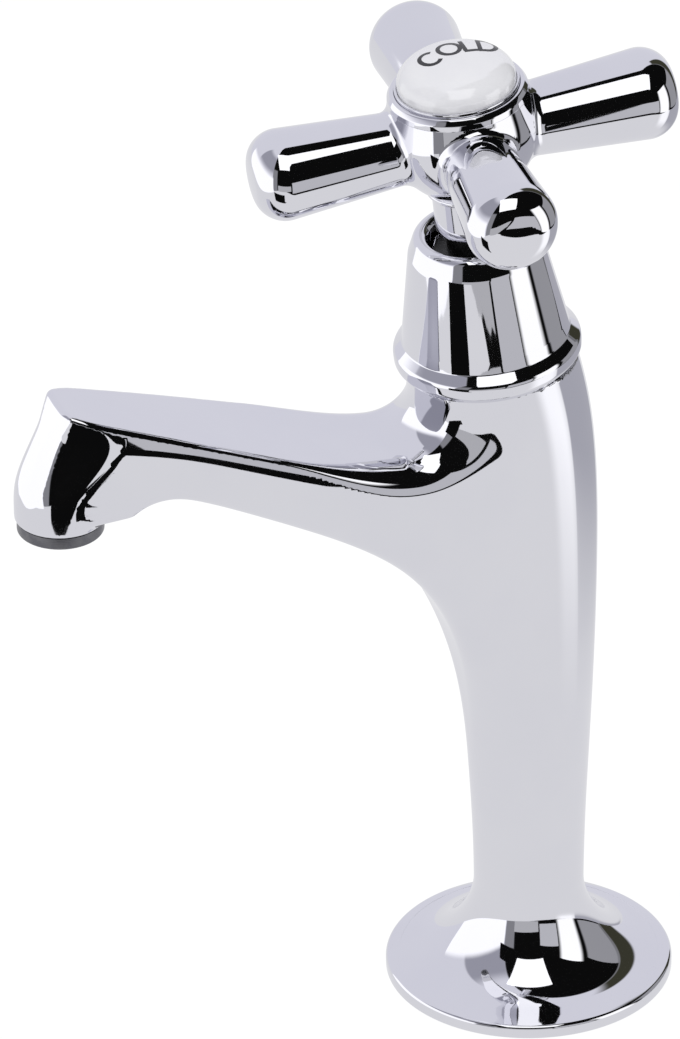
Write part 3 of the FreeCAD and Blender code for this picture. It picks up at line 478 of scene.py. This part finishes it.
# %% The casting's formula
class Casting:
    """Signed distance to the body, in millimetres. Points keep the nearest samples of the three
    outlines between calls, so that small moves for normals cost little."""

    def __init__(self, y, z):
        self.near = [o.nearest(y, z) for o in (underside, back_outline, top_outline)]

    def __call__(self, x, y, z):
        under = underside.distance(y, z, self.near[0])
        behind = back_outline.distance(y, z, self.near[1])
        top = top_outline.distance(y, z, self.near[2])
        across, along, high = upright(x, y, z)
        radius = np.hypot(x, y)
        # the walls
        wall = soft_max(side_wall(x, y, z, top, under), tip_arc(x, y, z), ARC_BLEND)
        wall = rounded_cut(wall, end_face(x, y, z), TIP_CORNER_R)
        wall = rounded_cut(wall, behind, COLUMN_R + BACK_ROUND * ease(z, 40, 120))
        # the spout's top with the neck on it
        neck = np.hypot(across, along) - (MOUTH_R + NECK_TAPER * high) - NECK_BEHIND * ease(along, -5, 4)
        lid = filleted_join(top, neck, NECK_FILLET)
        edge_r = TOP_EDGE_R + ROOT_EDGE_R * ease(y, -52, -26) * ease(-y, -4, 9)
        shape = rounded_cut(wall, lid, edge_r)
        # the underside; the outlet's face and the mouth's face are moved off where they don't cut
        edge_r = (UNDER_EDGE_R + (COLUMN_R - UNDER_EDGE_R) * ease(-z, -112, -45)
                  - TIP_EDGE_LESS * ease(-y, 60, 80))
        outlet_face = OUTLET_Z - z - 200 * ease(y, -80, -70)
        shape = rounded_cut(shape, np.maximum(under, outlet_face), edge_r)
        shape = np.maximum(shape, high - 60 * ease(-y, 26, 32))
        # the foot
        plate = rounded_cut(radius - FLANGE_R + RIM_RING, (z - plate_top(radius)) / FLANGE_SPREAD,
                            RIM_EDGE_R)
        shape = filleted_join(shape, plate, SWEEP_FILLET)
        shape = rounded_cut(shape, -z, FOOT_EDGE_R)
        # the hollows
        recess = np.maximum(radius - RECESS_R, z - RECESS_DEEP)
        bore = np.maximum(np.hypot(x, y + SPOUT_REACH) - BORE_R, z - OUTLET_Z - BORE_DEEP)
        return np.maximum(shape, -np.minimum(recess, bore))


# %% [markdown]
# ## From formula to mesh
# The formula is sampled on a grid of small cells. Each cell that the surface crosses gets one
# point, at the mean of the crossings on its edges, and each crossed grid edge joins four of them
# into a face. The points then slide along the slope of the formula until they lie on the surface,
# and the same slope, as a unit vector, is the normal.

# %% Surface of a formula
CORNERS = np.array([(i, j, k) for i in (0, 1) for j in (0, 1) for k in (0, 1)])
CELL_EDGES = [(a, b) for a in range(8) for b in range(a + 1, 8)
              if np.abs(CORNERS[a] - CORNERS[b]).sum() == 1]
SLIDES = 3
LEAST_SLOPE = 0.25


def slope(shape, p, reach=0.01):
    """Gradient of a formula by central differences."""
    parts = []
    for axis in np.eye(3) * reach:
        parts.append((shape(*(p + axis).T) - shape(*(p - axis).T)) / (2 * reach))
    return np.stack(parts, -1)


def skin_of(make_shape, low, high, cell):
    """Points, normals and four-sided faces of the surface where a formula is zero."""
    axes = [np.arange(a, b + cell, cell) for a, b in zip(low, high)]
    x, y, z = np.meshgrid(*axes, indexing="ij", sparse=True)
    values = make_shape(y[0], z[0])(x, y[0][None], z[0][None]).astype(np.float32)
    inside = values < 0
    size = np.array(inside.shape) - 1
    count = np.zeros(size, np.int8)
    for i, j, k in CORNERS:
        count += inside[i:i + size[0], j:j + size[1], k:k + size[2]]
    cells = np.argwhere((count > 0) & (count < 8))
    number = np.full(size, -1, np.int32)
    number[tuple(cells.T)] = np.arange(len(cells))
    corner = np.stack([values[tuple((cells + c).T)] for c in CORNERS], 1)
    total = np.zeros((len(cells), 3))
    hits = np.zeros(len(cells))
    for a, b in CELL_EDGES:
        va, vb = corner[:, a], corner[:, b]
        crossed = (va < 0) != (vb < 0)
        share = np.where(crossed, va / np.where(crossed, va - vb, 1), 0)[:, None]
        total += np.where(crossed[:, None], CORNERS[a] + share * (CORNERS[b] - CORNERS[a]), 0)
        hits += crossed
    points = np.array(low) + cell * (cells + total / hits[:, None])
    faces = []
    for axis in range(3):
        b, c = (axis + 1) % 3, (axis + 2) % 3
        u, v = np.eye(3, dtype=int)[[b, c]]
        first = np.take(inside, range(size[axis]), axis)
        second = np.take(inside, range(1, size[axis] + 1), axis)
        at = np.argwhere(first != second)
        at = at[(at[:, b] > 0) & (at[:, c] > 0) & (at[:, b] < size[b]) & (at[:, c] < size[c])]
        loop = np.stack([number[tuple((at - s).T)] for s in (0 * u, u, u + v, v)], 1)
        outwards = first[tuple(at.T)]
        loop[~outwards] = loop[~outwards][:, ::-1]
        faces.append(loop)
    faces = np.concatenate(faces)
    for again in range(SLIDES):
        shape = make_shape(points[:, 1], points[:, 2])
        value = shape(*points.T)
        grad = slope(shape, points)
        step = value / np.maximum(np.sum(grad ** 2, 1), LEAST_SLOPE)
        points -= np.clip(step, -cell, cell)[:, None] * grad
    grad = slope(make_shape(points[:, 1], points[:, 2]), points)
    normals = grad / np.maximum(np.linalg.norm(grad, axis=1, keepdims=True), 1e-9)
    return points, normals, faces


# %% From arrays to a Blender object
def mesh_piece(name, points, faces, finish, body, normals=None):
    """Put points in millimetres and their faces into a mesh object that rides on a body."""
    mesh = bpy.data.meshes.new(name)
    faces = np.asarray(faces)
    mesh.vertices.add(len(points))
    mesh.vertices.foreach_set("co", (np.asarray(points) * MM).ravel())
    sides = faces.shape[1]
    mesh.loops.add(faces.size)
    mesh.loops.foreach_set("vertex_index", faces.ravel())
    mesh.polygons.add(len(faces))
    mesh.polygons.foreach_set("loop_start", np.arange(len(faces)) * sides)
    mesh.update(calc_edges=True)
    mesh.polygons.foreach_set("use_smooth", np.ones(len(faces), bool))
    if normals is not None:
        mesh.normals_split_custom_set_from_vertices(normals)
    mesh.materials.append(finish)
    piece = bpy.data.objects.new(name, mesh)
    bpy.context.scene.collection.objects.link(piece)
    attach(piece, body)
    print(name + ":", len(points), "points,", len(faces), "faces, on body", body)
    return piece


# %% The casting
points, normals, faces = skin_of(Casting, (-27.0, -101.0, -0.9), (27.0, 28.0, 139.5), cell=0.58)
casting = mesh_piece("body_casting", points, faces, chrome, "tap", normals)
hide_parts("tap_body")

# %% [markdown]
# ## Turned pieces
# The bell, the flange's rim, the handle's neck and rim, the cup, the white button and the nozzle
# come off a lathe: one profile carried round an axis. A profile is a list of (radius, height)
# points; a corner that is given a radius becomes an arc.

# %% Lathe
PINPOINT = 1e-4


def profile(corners, arc_steps=7):
    """Polyline through (radius, height[, corner arc]) corners, each rounded by its arc."""
    pts = [np.array(c[:2], float) for c in corners]
    arcs = [c[2] if len(c) > 2 else 0 for c in corners]
    out = []
    for k, p in enumerate(pts):
        if arcs[k] == 0 or k in (0, len(pts) - 1):
            out.append(p)
            continue
        back_way = (pts[k - 1] - p) / np.linalg.norm(pts[k - 1] - p)
        way = (pts[k + 1] - p) / np.linalg.norm(pts[k + 1] - p)
        half = math.acos(np.clip(back_way @ way, -1, 1)) / 2
        middle = p + (back_way + way) / np.linalg.norm(back_way + way) * arcs[k] / math.sin(half)
        first = p + back_way * arcs[k] / math.tan(half) - middle
        last = p + way * arcs[k] / math.tan(half) - middle
        turn = math.pi - 2 * half
        for t in np.linspace(0, 1, arc_steps):
            out.append(middle + (first * math.sin((1 - t) * turn) + last * math.sin(t * turn))
                       / math.sin(turn))
    return np.array(out)


def lathe(outline, steps=192):
    """Points on rings about the axis, and the faces between rings. An end on the axis draws in to
    a ring far too small to see."""
    angle = np.linspace(0, 2 * math.pi, steps, endpoint=False)
    radius = np.maximum(outline[:, 0], PINPOINT)[:, None]
    points = np.stack([radius * np.cos(angle), radius * np.sin(angle),
                       np.broadcast_to(outline[:, 1][:, None], (len(outline), steps))], -1)
    ring = np.arange(steps)
    after = (ring + 1) % steps
    row = (np.arange(len(outline) - 1) * steps)[:, None]
    faces = np.stack([row + ring, row + after, row + steps + after, row + steps + ring], -1)
    return points.reshape(-1, 3), faces.reshape(-1, 4)


def sharp_corners(piece, degrees=35):
    """Keep edges sharper than this angle crisp under smooth shading."""
    piece.data.set_sharp_from_angle(angle=math.radians(degrees))


def turned_piece(name, corners, finish, body, leans=True, steps=192):
    """A piece off the lathe: about the valve's leaning axis, or else about an upright one."""
    points, faces = lathe(profile(corners), steps)
    points = lean(points) if leans else points
    piece = mesh_piece(name, points, faces, finish, body)
    sharp_corners(piece)
    return piece


# %% [markdown]
# ## The bell cover
# The bell hides the headwork. A thick bead stands on the mouth, then a plain cone rises to a
# rolled lip round the hole that the handle's neck comes through.

# %% Bell cover
bell = turned_piece("bell", [
    (14.4, 0.05), (15.8, 0.05, 0.3), (17.1, 1.5, 1.5), (17.1, 3.8, 1.5), (15.35, 5.5, 0.6),
    (15.0, 7.6, 1.2), (12.35, 23.4, 3.4), (10.9, 27.0, 1.6), (9.2, 27.1, 1.2), (8.4, 26.0, 0.5),
    (8.4, 24.2), (10.8, 21.6), (12.0, 14.5), (6.9, 14.5), (6.9, 13.0), (12.2, 13.0), (13.5, 7.6),
    (14.4, 4.2), (14.4, 0.05)], chrome, "tap")
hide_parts("bell_cover")

# %% [markdown]
# ## The flange's rim
# The rim's edges are turned to radii under a millimetre, too small for the grid that the casting
# is sampled on. A turned ring has those edges exactly. It lies over the casting's own edge and
# carries its slope on.

# %% Rim ring
RING_IN = 23.9
RING_LIFT = 0.012  # keeps its top just clear of the casting's
RING_EDGE_R = 0.9
ring = turned_piece("flange_rim", [
    (RING_IN, 0.1), (RING_IN + 1.2, 0.1), (RING_IN + 1.6, 0.0), (FLANGE_R, 0.0, FOOT_EDGE_R),
    (FLANGE_R, plate_top(FLANGE_R), RING_EDGE_R), (RING_IN, plate_top(RING_IN) + RING_LIFT),
    (RING_IN, 0.1)],
    chrome, "tap", leans=False, steps=256)
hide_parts("tap_body")

# %% [markdown]
# ## The cross handle
# Hub and arms are one casting with small fillets at the arms' roots, so they are one formula: a
# bowl-shaped hub, and four tapered bars with rounded ends.

# %% Handle formula
ARM_HEIGHT = 47.2
ARM_REACH = 39.35
ARM_ANGLE = math.radians(-6.25)
ARM_ROOT_R = 5.8
ARM_END_R = 8.45
ARM_END_ROUND = 5.4
ARM_END_BOW = 0.012
ROOT_FILLET = 1.3
HUB_FOOT = 37.0
RIM_FOOT = 55.7
RIM_TOP = 57.4
hub_curve = Outline([(5.0, 35.6), (7.5, 37.2), (9.9, 39.2), (11.7, 41.5), (13.1, 44.3), (13.8, 47.2),
                     (13.75, 50.6), (13.2, 53.4), (12.6, 56.2), (12.2, 58.5)])


def handle_shape(x, y, h):
    """Signed distance to hub and arms, upright about the valve's axis."""
    radius = np.hypot(x, y)
    hub_r = np.interp(h, hub_curve.at[:, 1], hub_curve.at[:, 0])
    flare = np.interp(h, hub_curve.at[:, 1], hub_curve.way[:, 0] / hub_curve.way[:, 1])
    hub = (radius - hub_r) / np.hypot(1, flare)
    hub = np.maximum(np.maximum(hub, HUB_FOOT - h), h - RIM_FOOT)
    # one formula for four arms: the angle is taken from the nearest arm
    turn = np.arctan2(y, x) - ARM_ANGLE
    turn = turn - np.round(turn / (math.pi / 2)) * (math.pi / 2)
    along = radius * np.cos(turn)
    off = np.hypot(radius * np.sin(turn), h - ARM_HEIGHT)
    swell = (ARM_END_R - ARM_ROOT_R) / (ARM_REACH - ARM_END_ROUND)
    bar = (off - ARM_ROOT_R - swell * along) / math.hypot(1, swell)
    arm = rounded_cut(bar, along - ARM_REACH + ARM_END_BOW * off ** 2, ARM_END_ROUND)
    return filleted_join(hub, arm, ROOT_FILLET)


# %% Cross handle
points, normals, faces = skin_of(lambda y, h: handle_shape, (-41.0, -41.0, 36.4), (41.0, 41.0, 56.4),
                                 cell=0.47)
leaned_normals = lean(normals) - MOUTH
cross = mesh_piece("cross_hub_and_arms", lean(points), faces, chrome, "handle",
                   leaned_normals)
neck = turned_piece("handle_neck", [
    (5.2, 28.2), (6.8, 28.2, 0.4), (6.8, 36.0, 0.2), (7.75, 36.1, 0.5), (7.75, 37.15, 0.5),
    (7.2, 37.2, 0.2), (7.2, 40.0), (5.2, 40.0), (5.2, 28.2)], chrome, "handle")
rim = turned_piece("hub_rim", [
    (11.4, 54.0), (12.3, 54.0), (12.82, 55.4, 0.1), (12.72, 56.4, 0.6), (12.1, RIM_TOP, 0.5),
    (11.4, RIM_TOP, 0.15), (11.4, 54.0)], chrome, "handle")
for piece in (cross, neck, rim):
    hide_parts("cross_handle")

# %% [markdown]
# ## The index button
# A thin plated cup sits in the hub and holds the white glazed button, which has a straight edge,
# a rounded shoulder and a low dome. The dome's height has a formula of its own, because the
# lettering has to lie on it.

# %% Cup
cup = turned_piece("index_rim", [
    (0.0, 53.25), (11.35, 53.25), (11.35, 58.0, 0.15), (10.85, 58.0, 0.15), (10.85, 53.85),
    (0.0, 53.85)], chrome, "handle")
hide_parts("index_cup")

# %% The button's dome
BUTTON_R = 10.75
BUTTON_TOP = 63.6
DOME_BOW = 0.0215
SHOULDER_R = 7.2
SHOULDER_DROP = 2.2
SHOULDER_POWER = 2.2


def button_height(radius):
    """The dome falls as the square of the radius; then the shoulder as a quarter of an ellipse,
    a little squarer than a true one."""
    dome = BUTTON_TOP - radius ** 2 * DOME_BOW
    out = np.clip((radius - SHOULDER_R) / (BUTTON_R - SHOULDER_R), 0, 1)
    return dome - SHOULDER_DROP * (1 - np.sqrt(np.maximum(1 - out ** SHOULDER_POWER, 0)))


quarter = np.linspace(0, math.pi / 2, 30)
dome_r = np.concatenate([np.linspace(0, SHOULDER_R, 16),
                         SHOULDER_R + (BUTTON_R - SHOULDER_R) * np.sin(quarter)[1:]])
dome = np.stack([dome_r, button_height(dome_r)], -1)[::-1]
edge = np.array([(0.0, 53.9), (10.6, 53.9), (10.8, 58.1)])
points, faces = lathe(np.concatenate([edge, dome]))
button = mesh_piece("index_button", lean(points), faces, white_glaze, "handle")
sharp_corners(button, 50)
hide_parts("index_insert")

# %% [markdown]
# ## The word on the button
# A plain "COLD" tells the user which tap this is. It is baked on in black enamel. Each stroke is a
# thin strip that follows the dome and stands a few hundredths of a millimetre proud of it. Straight
# strokes and arcs are enough: a letter is a list of centre lines, in widths and heights.

# %% Lettering
STROKE = 0.8
LETTER_HEIGHT = 4.7
PROUD = 0.03
SUNK = 0.12


def arc_line(middle, wide, tall, start, end):
    """Centre line along an ellipse, from one angle to another in degrees."""
    angle = np.radians(np.linspace(start, end, 40))
    return np.stack([middle[0] + wide * np.cos(angle), middle[1] + tall * np.sin(angle)], -1)


def straight_line(a, b):
    """Centre line from one point to another."""
    return np.array(a) + np.linspace(0, 1, 12)[:, None] * (np.array(b) - np.array(a))


half = LETTER_HEIGHT / 2
LETTERS = {
    "C": [arc_line((0.1, 0), 1.75, half, 48, 312)],
    "O": [arc_line((0, 0), 1.95, half, 0, 360)],
    "L": [straight_line((-1.1, half), (-1.1, -half)), straight_line((-1.4, -half), (1.4, -half))],
    "D": [straight_line((-1.4, half), (-1.4, -half)), straight_line((-1.7, -half), (0, -half)),
          arc_line((0, 0), 1.6, half, -90, 90), straight_line((0, half), (-1.7, half))],
}
# where each letter stands on the button: along the row, up from the middle, and its turn
PLACES = {"C": (-3.95, 1.75, 12), "O": (0.2, 2.9, 2), "L": (3.95, 2.75, -5), "D": (7.1, 2.1, -12)}


def stroke_on_dome(line):
    """A strip as wide as the stroke along a line on the dome: its top just proud, its foot sunk."""
    way = np.gradient(line, axis=0)
    way /= np.hypot(*way.T)[:, None]
    side = np.stack([-way[:, 1], way[:, 0]], -1)
    offsets = np.array([-0.5, -0.25, 0, 0.25, 0.5]) * STROKE
    flat = line[:, None] + side[:, None] * offsets[:, None]
    lift = button_height(np.hypot(flat[..., 0], flat[..., 1]))
    top = np.dstack([flat, lift + PROUD])
    foot = np.dstack([flat, lift - SUNK])[:, ::-1]
    rings = np.concatenate([top, foot], 1)
    rows, width = rings.shape[:2]
    k = np.arange(width)
    row = (np.arange(rows - 1) * width)[:, None]
    walls = np.stack([row + k, row + (k + 1) % width, row + width + (k + 1) % width,
                      row + width + k], -1).reshape(-1, 4)
    pair = np.arange(width // 2 - 1)
    first = np.stack([pair, width - 1 - pair, width - 2 - pair, pair + 1], -1)
    last = first[:, ::-1] + (rows - 1) * width
    return rings.reshape(-1, 3), np.concatenate([walls, first, last])


# %% The word
points, faces, count = [], [], 0
for letter, (along, up, degrees) in PLACES.items():
    c, s = math.cos(math.radians(degrees)), math.sin(math.radians(degrees))
    for line in LETTERS[letter]:
        row = along + line[:, 0] * c - line[:, 1] * s
        height = up + line[:, 0] * s + line[:, 1] * c
        p, f = stroke_on_dome(np.stack([-height, row], -1))
        points.append(p)
        faces.append(f + count)
        count += len(p)
lettering = mesh_piece("index_lettering", lean(np.concatenate(points)), np.concatenate(faces),
                       black_enamel, "handle")
sharp_corners(lettering, 30)
print("lettering:", len(LETTERS), "letters,", len(faces), "strokes")

# %% [markdown]
# ## The outlet
# The nozzle is a dark ring that stands a little below the tip. It is a piece of another metal, so
# it is turned apart, about an upright axis, and then moved to the outlet.

# %% Nozzle
nozzle = turned_piece("nozzle_ring", [
    (4.65, 113.1), (7.9, 113.1, 0.5), (7.9, 115.45), (5.55, 115.45), (5.55, 120.5),
    (4.65, 120.5), (4.65, 113.1)], dark_metal, "tap", leans=False)
nozzle.data.transform(Matrix.Translation((0, -SPOUT_REACH * MM, 0)))
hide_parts("outlet_nozzle")

# %% [markdown]
# ## The studio
# The floor is the table that the tap stands on. It and the room are white to the camera. Chrome
# mirrors the rest of the studio: a pale room behind the tap, the dark half of the room on the
# camera's side with a grey and an olive strip at its two ends, the table's edge, white and grey
# reflector cards round that edge, a large soft box above the camera, and a small black flag near
# the spout's tip. Directions are given as an azimuth from +X towards +Y, and as a height angle,
# both in degrees.

# %% World
DEGREES = 180 / math.pi


def band(value, low, high, soft):
    """1 between two values and 0 outside, with soft ends."""
    return value.ease(low - soft, low + soft) * (1 - value.ease(high - soft, high + soft))


def azimuth_of(x, y):
    """The direction of a point or vector in plan."""
    return y.maths("ARCTAN2", y, x) * DEGREES


world = bpy.data.worlds.new("studio")
world.use_nodes = True
bpy.context.scene.world = world
tree = world.node_tree
tree.nodes.clear()
path = tree.nodes.new("ShaderNodeLightPath")
seen = Wire(tree, path.outputs["Is Camera Ray"])
glossy = Wire(tree, path.outputs["Is Glossy Ray"])
through = Wire(tree, path.outputs["Is Transmission Ray"])
coordinate = tree.nodes.new("ShaderNodeTexCoord")
dx, dy, dz = components(tree, coordinate.outputs["Generated"])
azimuth = azimuth_of(dx, dy)
rise = dz.maths("ARCSINE", dz) * DEGREES

WHITE = (1, 1, 1, 1)
ROOM_LIGHT = (0.78, 0.78, 0.80, 1)
PALE_ROOM = (0.76, 0.76, 0.83, 1)
DUSK = (0.36, 0.36, 0.42, 1)
GREY_POST = (0.26, 0.26, 0.28, 1)
DARK = (0.004, 0.004, 0.004, 1)
OLIVE = (0.045, 0.045, 0.03, 1)
room = (band(azimuth, -122, -61, 2) * band(rise, 22, 62, 7)).mix_colour(PALE_ROOM, DUSK)
room = band(azimuth, -61, 112, 1.5).mix_colour(room, DARK)
room = (band(azimuth, -61, -46, 1) * (1 - rise.ease(30, 34))).mix_colour(room, GREY_POST)
room = (band(azimuth, 112, 127, 1.5) * (1 - rise.ease(52, 60))).mix_colour(room, OLIVE)
# a mirror sees the room, a dull surface its even light, and the camera plain white
mirrored = glossy.mix_colour(ROOM_LIGHT, room)
colour = seen.maths("MAXIMUM", seen, through).mix_colour(mirrored, WHITE)
shade = tree.nodes.new("ShaderNodeBackground")
tree.links.new(colour.socket, shade.inputs["Color"])
out = tree.nodes.new("ShaderNodeOutputWorld")
tree.links.new(shade.outputs[0], out.inputs["Surface"])
print("world nodes:", len(tree.nodes))

# %% [markdown]
# ## The table
# In the photo the ground is plain white, yet the chrome shows a table. So one material does two
# jobs: it glows for the camera, which all but drowns the tap's shadow, and in mirrors it glows pale
# grey, with painted light towards the middle card and painted shade towards the right one. Its near
# edge is a curve, because that edge draws the line between light and dark down the tap's side.

# %% The table top
DECK = (0.8, 0.8, 0.8, 1)
DECK_ROUGHNESS = 0.6
GLOW = 1.12
GLOW_SHARE = 0.80
DECK_IN_MIRRORS = (0.80, 0.80, 0.82, 1)
# painted light and painted shade that the table shows in mirrors, near the cards
PAINTED_CARD_LIGHT = (1.2, 1.2, 1.22, 1)
PAINTED_SHADE_GREY = (0.44, 0.44, 0.49, 1)
PAINTED_TONES_FADE_IN = (0.09, 0.21)


def floor_glow_and_painted_light():
    """White to the camera, with next to nothing of the shadow left; a pale grey glow in mirrors, with
    painted light towards the middle card and painted shade towards the right one further out."""
    material, shader = new_material("deck_white_and_painted_light")
    tree = material.node_tree
    shader.inputs["Base Color"].default_value = DECK
    shader.inputs["Roughness"].default_value = DECK_ROUGHNESS
    path = tree.nodes.new("ShaderNodeLightPath")
    seen = Wire(tree, path.outputs["Is Camera Ray"])
    glow = seen.node("ShaderNodeEmission", {}, {"Color": WHITE, "Strength": GLOW})
    lit = mixed(tree, (seen * GLOW_SHARE).socket, shader.outputs[0], glow.socket)
    place = tree.nodes.new("ShaderNodeTexCoord")
    x, y, _ = components(tree, place.outputs["Object"])
    azimuth = azimuth_of(x, y)
    square = x * x + y * y
    painted_tones_reach = square.maths("SQRT", square).ease(*PAINTED_TONES_FADE_IN)
    # painted light, brighter towards the middle card, and painted shade, greyer towards the right one
    painted_light_tone = (band(azimuth, 34, 67, 9) * painted_tones_reach).mix_colour(DECK_IN_MIRRORS, PAINTED_CARD_LIGHT)
    painted_light_tone = (band(azimuth, 68, 135, 1.5) * painted_tones_reach).mix_colour(painted_light_tone, PAINTED_SHADE_GREY)
    # in mirrors the table glows, with this painted light and shade in it
    mirror_glow_and_painted_light = seen.node("ShaderNodeEmission", {}, {"Color": painted_light_tone, "Strength": 1.0})
    shown = mixed(tree, path.outputs["Is Glossy Ray"], lit, mirror_glow_and_painted_light.socket)
    tree.links.new(shown, tree.nodes["Material Output"].inputs["Surface"])
    return material


# %% Studio sheets
def hide_from(thing, *rays):
    """Hide an object from some kinds of ray."""
    for ray in rays:
        setattr(thing, "visible_" + ray, False)


def stage_sheet(name, corners, material):
    """A flat sheet of the studio, given by its corners."""
    mesh = bpy.data.meshes.new(name)
    mesh.from_pydata([tuple(c) for c in corners], [], [tuple(range(len(corners)))])
    for loop, uv in zip(mesh.uv_layers.new(name="sheet").data, ((0, 0), (1, 0), (1, 1), (0, 1))):
        loop.uv = uv
    mesh.materials.append(material)
    sheet = bpy.data.objects.new(name, mesh)
    bpy.context.scene.collection.objects.link(sheet)
    print("studio sheet:", name)
    return sheet


# %% The table's edge
def smooth_run(points, steps=12):
    """A curve through points: a cubic between each two, whose slope at a point is half the way
    from the point before it to the point after it."""
    p = np.array(points, float)
    slopes = np.gradient(p, axis=0)
    t = np.linspace(0, 1, steps, endpoint=False)[:, None]
    pieces = [(2 * t**3 - 3 * t**2 + 1) * p[i] + (t**3 - 2 * t**2 + t) * slopes[i]
              + (3 * t**2 - 2 * t**3) * p[i + 1] + (t**3 - t**2) * slopes[i + 1]
              for i in range(len(p) - 1)]
    return np.vstack(pieces + [p[-1:]])


NEAR_EDGE = smooth_run([(0.62, -0.50), (0.60, -0.30), (0.50, -0.13), (0.41, -0.045), (0.36, 0.02),
                        (0.345, 0.10), (0.30, 0.20), (0.22, 0.36)])
FAR = 3
JUST_BELOW = -0.0004
deck_white_and_painted_light = floor_glow_and_painted_light()
stage_sheet("floor", [(-FAR, -0.5, 0), *((x, y, 0) for x, y in NEAR_EDGE), (-0.5, 0.5, 0),
                      (-FAR, FAR, 0)], deck_white_and_painted_light)
# past that edge the mirrors see the dark room, but the camera still sees a white table
beyond = stage_sheet("floor_beyond", [(x, y, JUST_BELOW) for x, y in (
    (-FAR, -FAR), (FAR, -FAR), (FAR, FAR), (-FAR, FAR))], deck_white_and_painted_light)
hide_from(beyond, "glossy", "diffuse", "shadow", "transmission")
print("table edge points:", len(NEAR_EDGE))

# %% [markdown]
# ## Cards and soft box
# A photographer shapes chrome with cards: white ones draw bright bands on it, grey ones soften
# them, and a black one, a flag, draws a dark edge. Here the cards are sheets that glow in mirrors
# alone, so each band can be moved by itself without a change to the light. The soft box is a real
# lamp, which lights the white button too.

# %% Cards
SHARP = 0.001


def card_finish(name, colour, side=SHARP, top=SHARP):
    """A glowing card that fades out over a share of its sides and top."""
    material = bpy.data.materials.new(name)
    material.use_nodes = True
    tree = material.node_tree
    tree.nodes.clear()
    u, v, _ = components(tree, tree.nodes.new("ShaderNodeUVMap").outputs[0])
    shown = u.ease(0, side) * (1 - u.ease(1 - side, 1)) * (1 - v.ease(1 - top, 1))
    glow = u.node("ShaderNodeEmission", {}, {"Color": (*colour, 1), "Strength": 1.0})
    clear = u.node("ShaderNodeBsdfTransparent")
    out = tree.nodes.new("ShaderNodeOutputMaterial")
    tree.links.new(mixed(tree, shown.socket, clear.socket, glow.socket), out.inputs["Surface"])
    return material


def mirror_sheet(name, corners, finish):
    """A sheet that shows in mirrors alone."""
    hide_from(stage_sheet(name, corners, finish), "camera", "diffuse", "shadow", "transmission")


def card(name, first, last, away, low, high, colour, side=SHARP, top=SHARP, about=(0, 0)):
    """An upright card between two azimuths, at a distance from a point of the deck."""
    ends = [(about[0] + away * math.cos(math.radians(a)), about[1] + away * math.sin(math.radians(a)))
            for a in (first, last)]
    corners = [(*ends[0], low), (*ends[1], low), (*ends[1], high), (*ends[0], high)]
    mirror_sheet(name, corners, card_finish(name, colour, side, top))


# from one azimuth to another, how far out, its foot and its top in metres, and its colour
card("card_low", -46.5, -4, 0.64, 0.0, 0.15, (0.50, 0.50, 0.52))
card("card_near_left", -2, 28, 0.38, 0.03, 0.21, (0.56, 0.56, 0.59))
card("card_middle", 28, 67, 0.42, 0.0, 0.36, (1.25, 1.25, 1.25), side=0.18)
card("card_right", 70, 111, 0.44, 0.01, 0.32, (0.34, 0.34, 0.36), side=0.1)
card("card_front", -146, -62, 0.50, 0.0, 0.30, (1.25, 1.25, 1.28), top=0.25)
card("flag", -45, 6, 0.075, 0.076, 0.134, DARK[:3], about=(0.008, -0.09))
# a small black sheet carries the flag's lower edge on beside the outlet
mirror_sheet("flag_corner", [(0.0827, -0.086, 0.080), (0.0812, -0.0795, 0.080),
                             (0.0812, -0.0715, 0.091), (0.0827, -0.086, 0.091)],
             card_finish("flag_corner", DARK[:3]))

# %% Soft box
BOX_AIM = Vector((0, 0, 0.1))


def soft_box(name, azimuth, height_angle, away, wide, tall, strength):
    """A glowing rectangle that faces the tap's middle; its strength is in watts a square metre."""
    a, h = math.radians(azimuth), math.radians(height_angle)
    at = Vector((math.cos(h) * math.cos(a), math.cos(h) * math.sin(a), math.sin(h))) * away
    turn = (-at).to_track_quat("-Z", "Y").to_matrix().to_4x4()
    light = bpy.data.lights.new(name, "AREA")
    light.shape = "RECTANGLE"
    light.size = wide
    light.size_y = tall
    light.energy = strength * wide * tall
    lamp = bpy.data.objects.new(name, light)
    lamp.matrix_world = Matrix.Translation(at + BOX_AIM) @ turn
    hide_from(lamp, "camera")
    bpy.context.scene.collection.objects.link(lamp)
    print("soft box:", name, round(light.energy, 2), "W")


soft_box("box_above", azimuth=-19, height_angle=59, away=1.0, wide=0.62, tall=0.66, strength=4.2)

scene = bpy.context.scene
scene.view_settings.view_transform = "Standard"
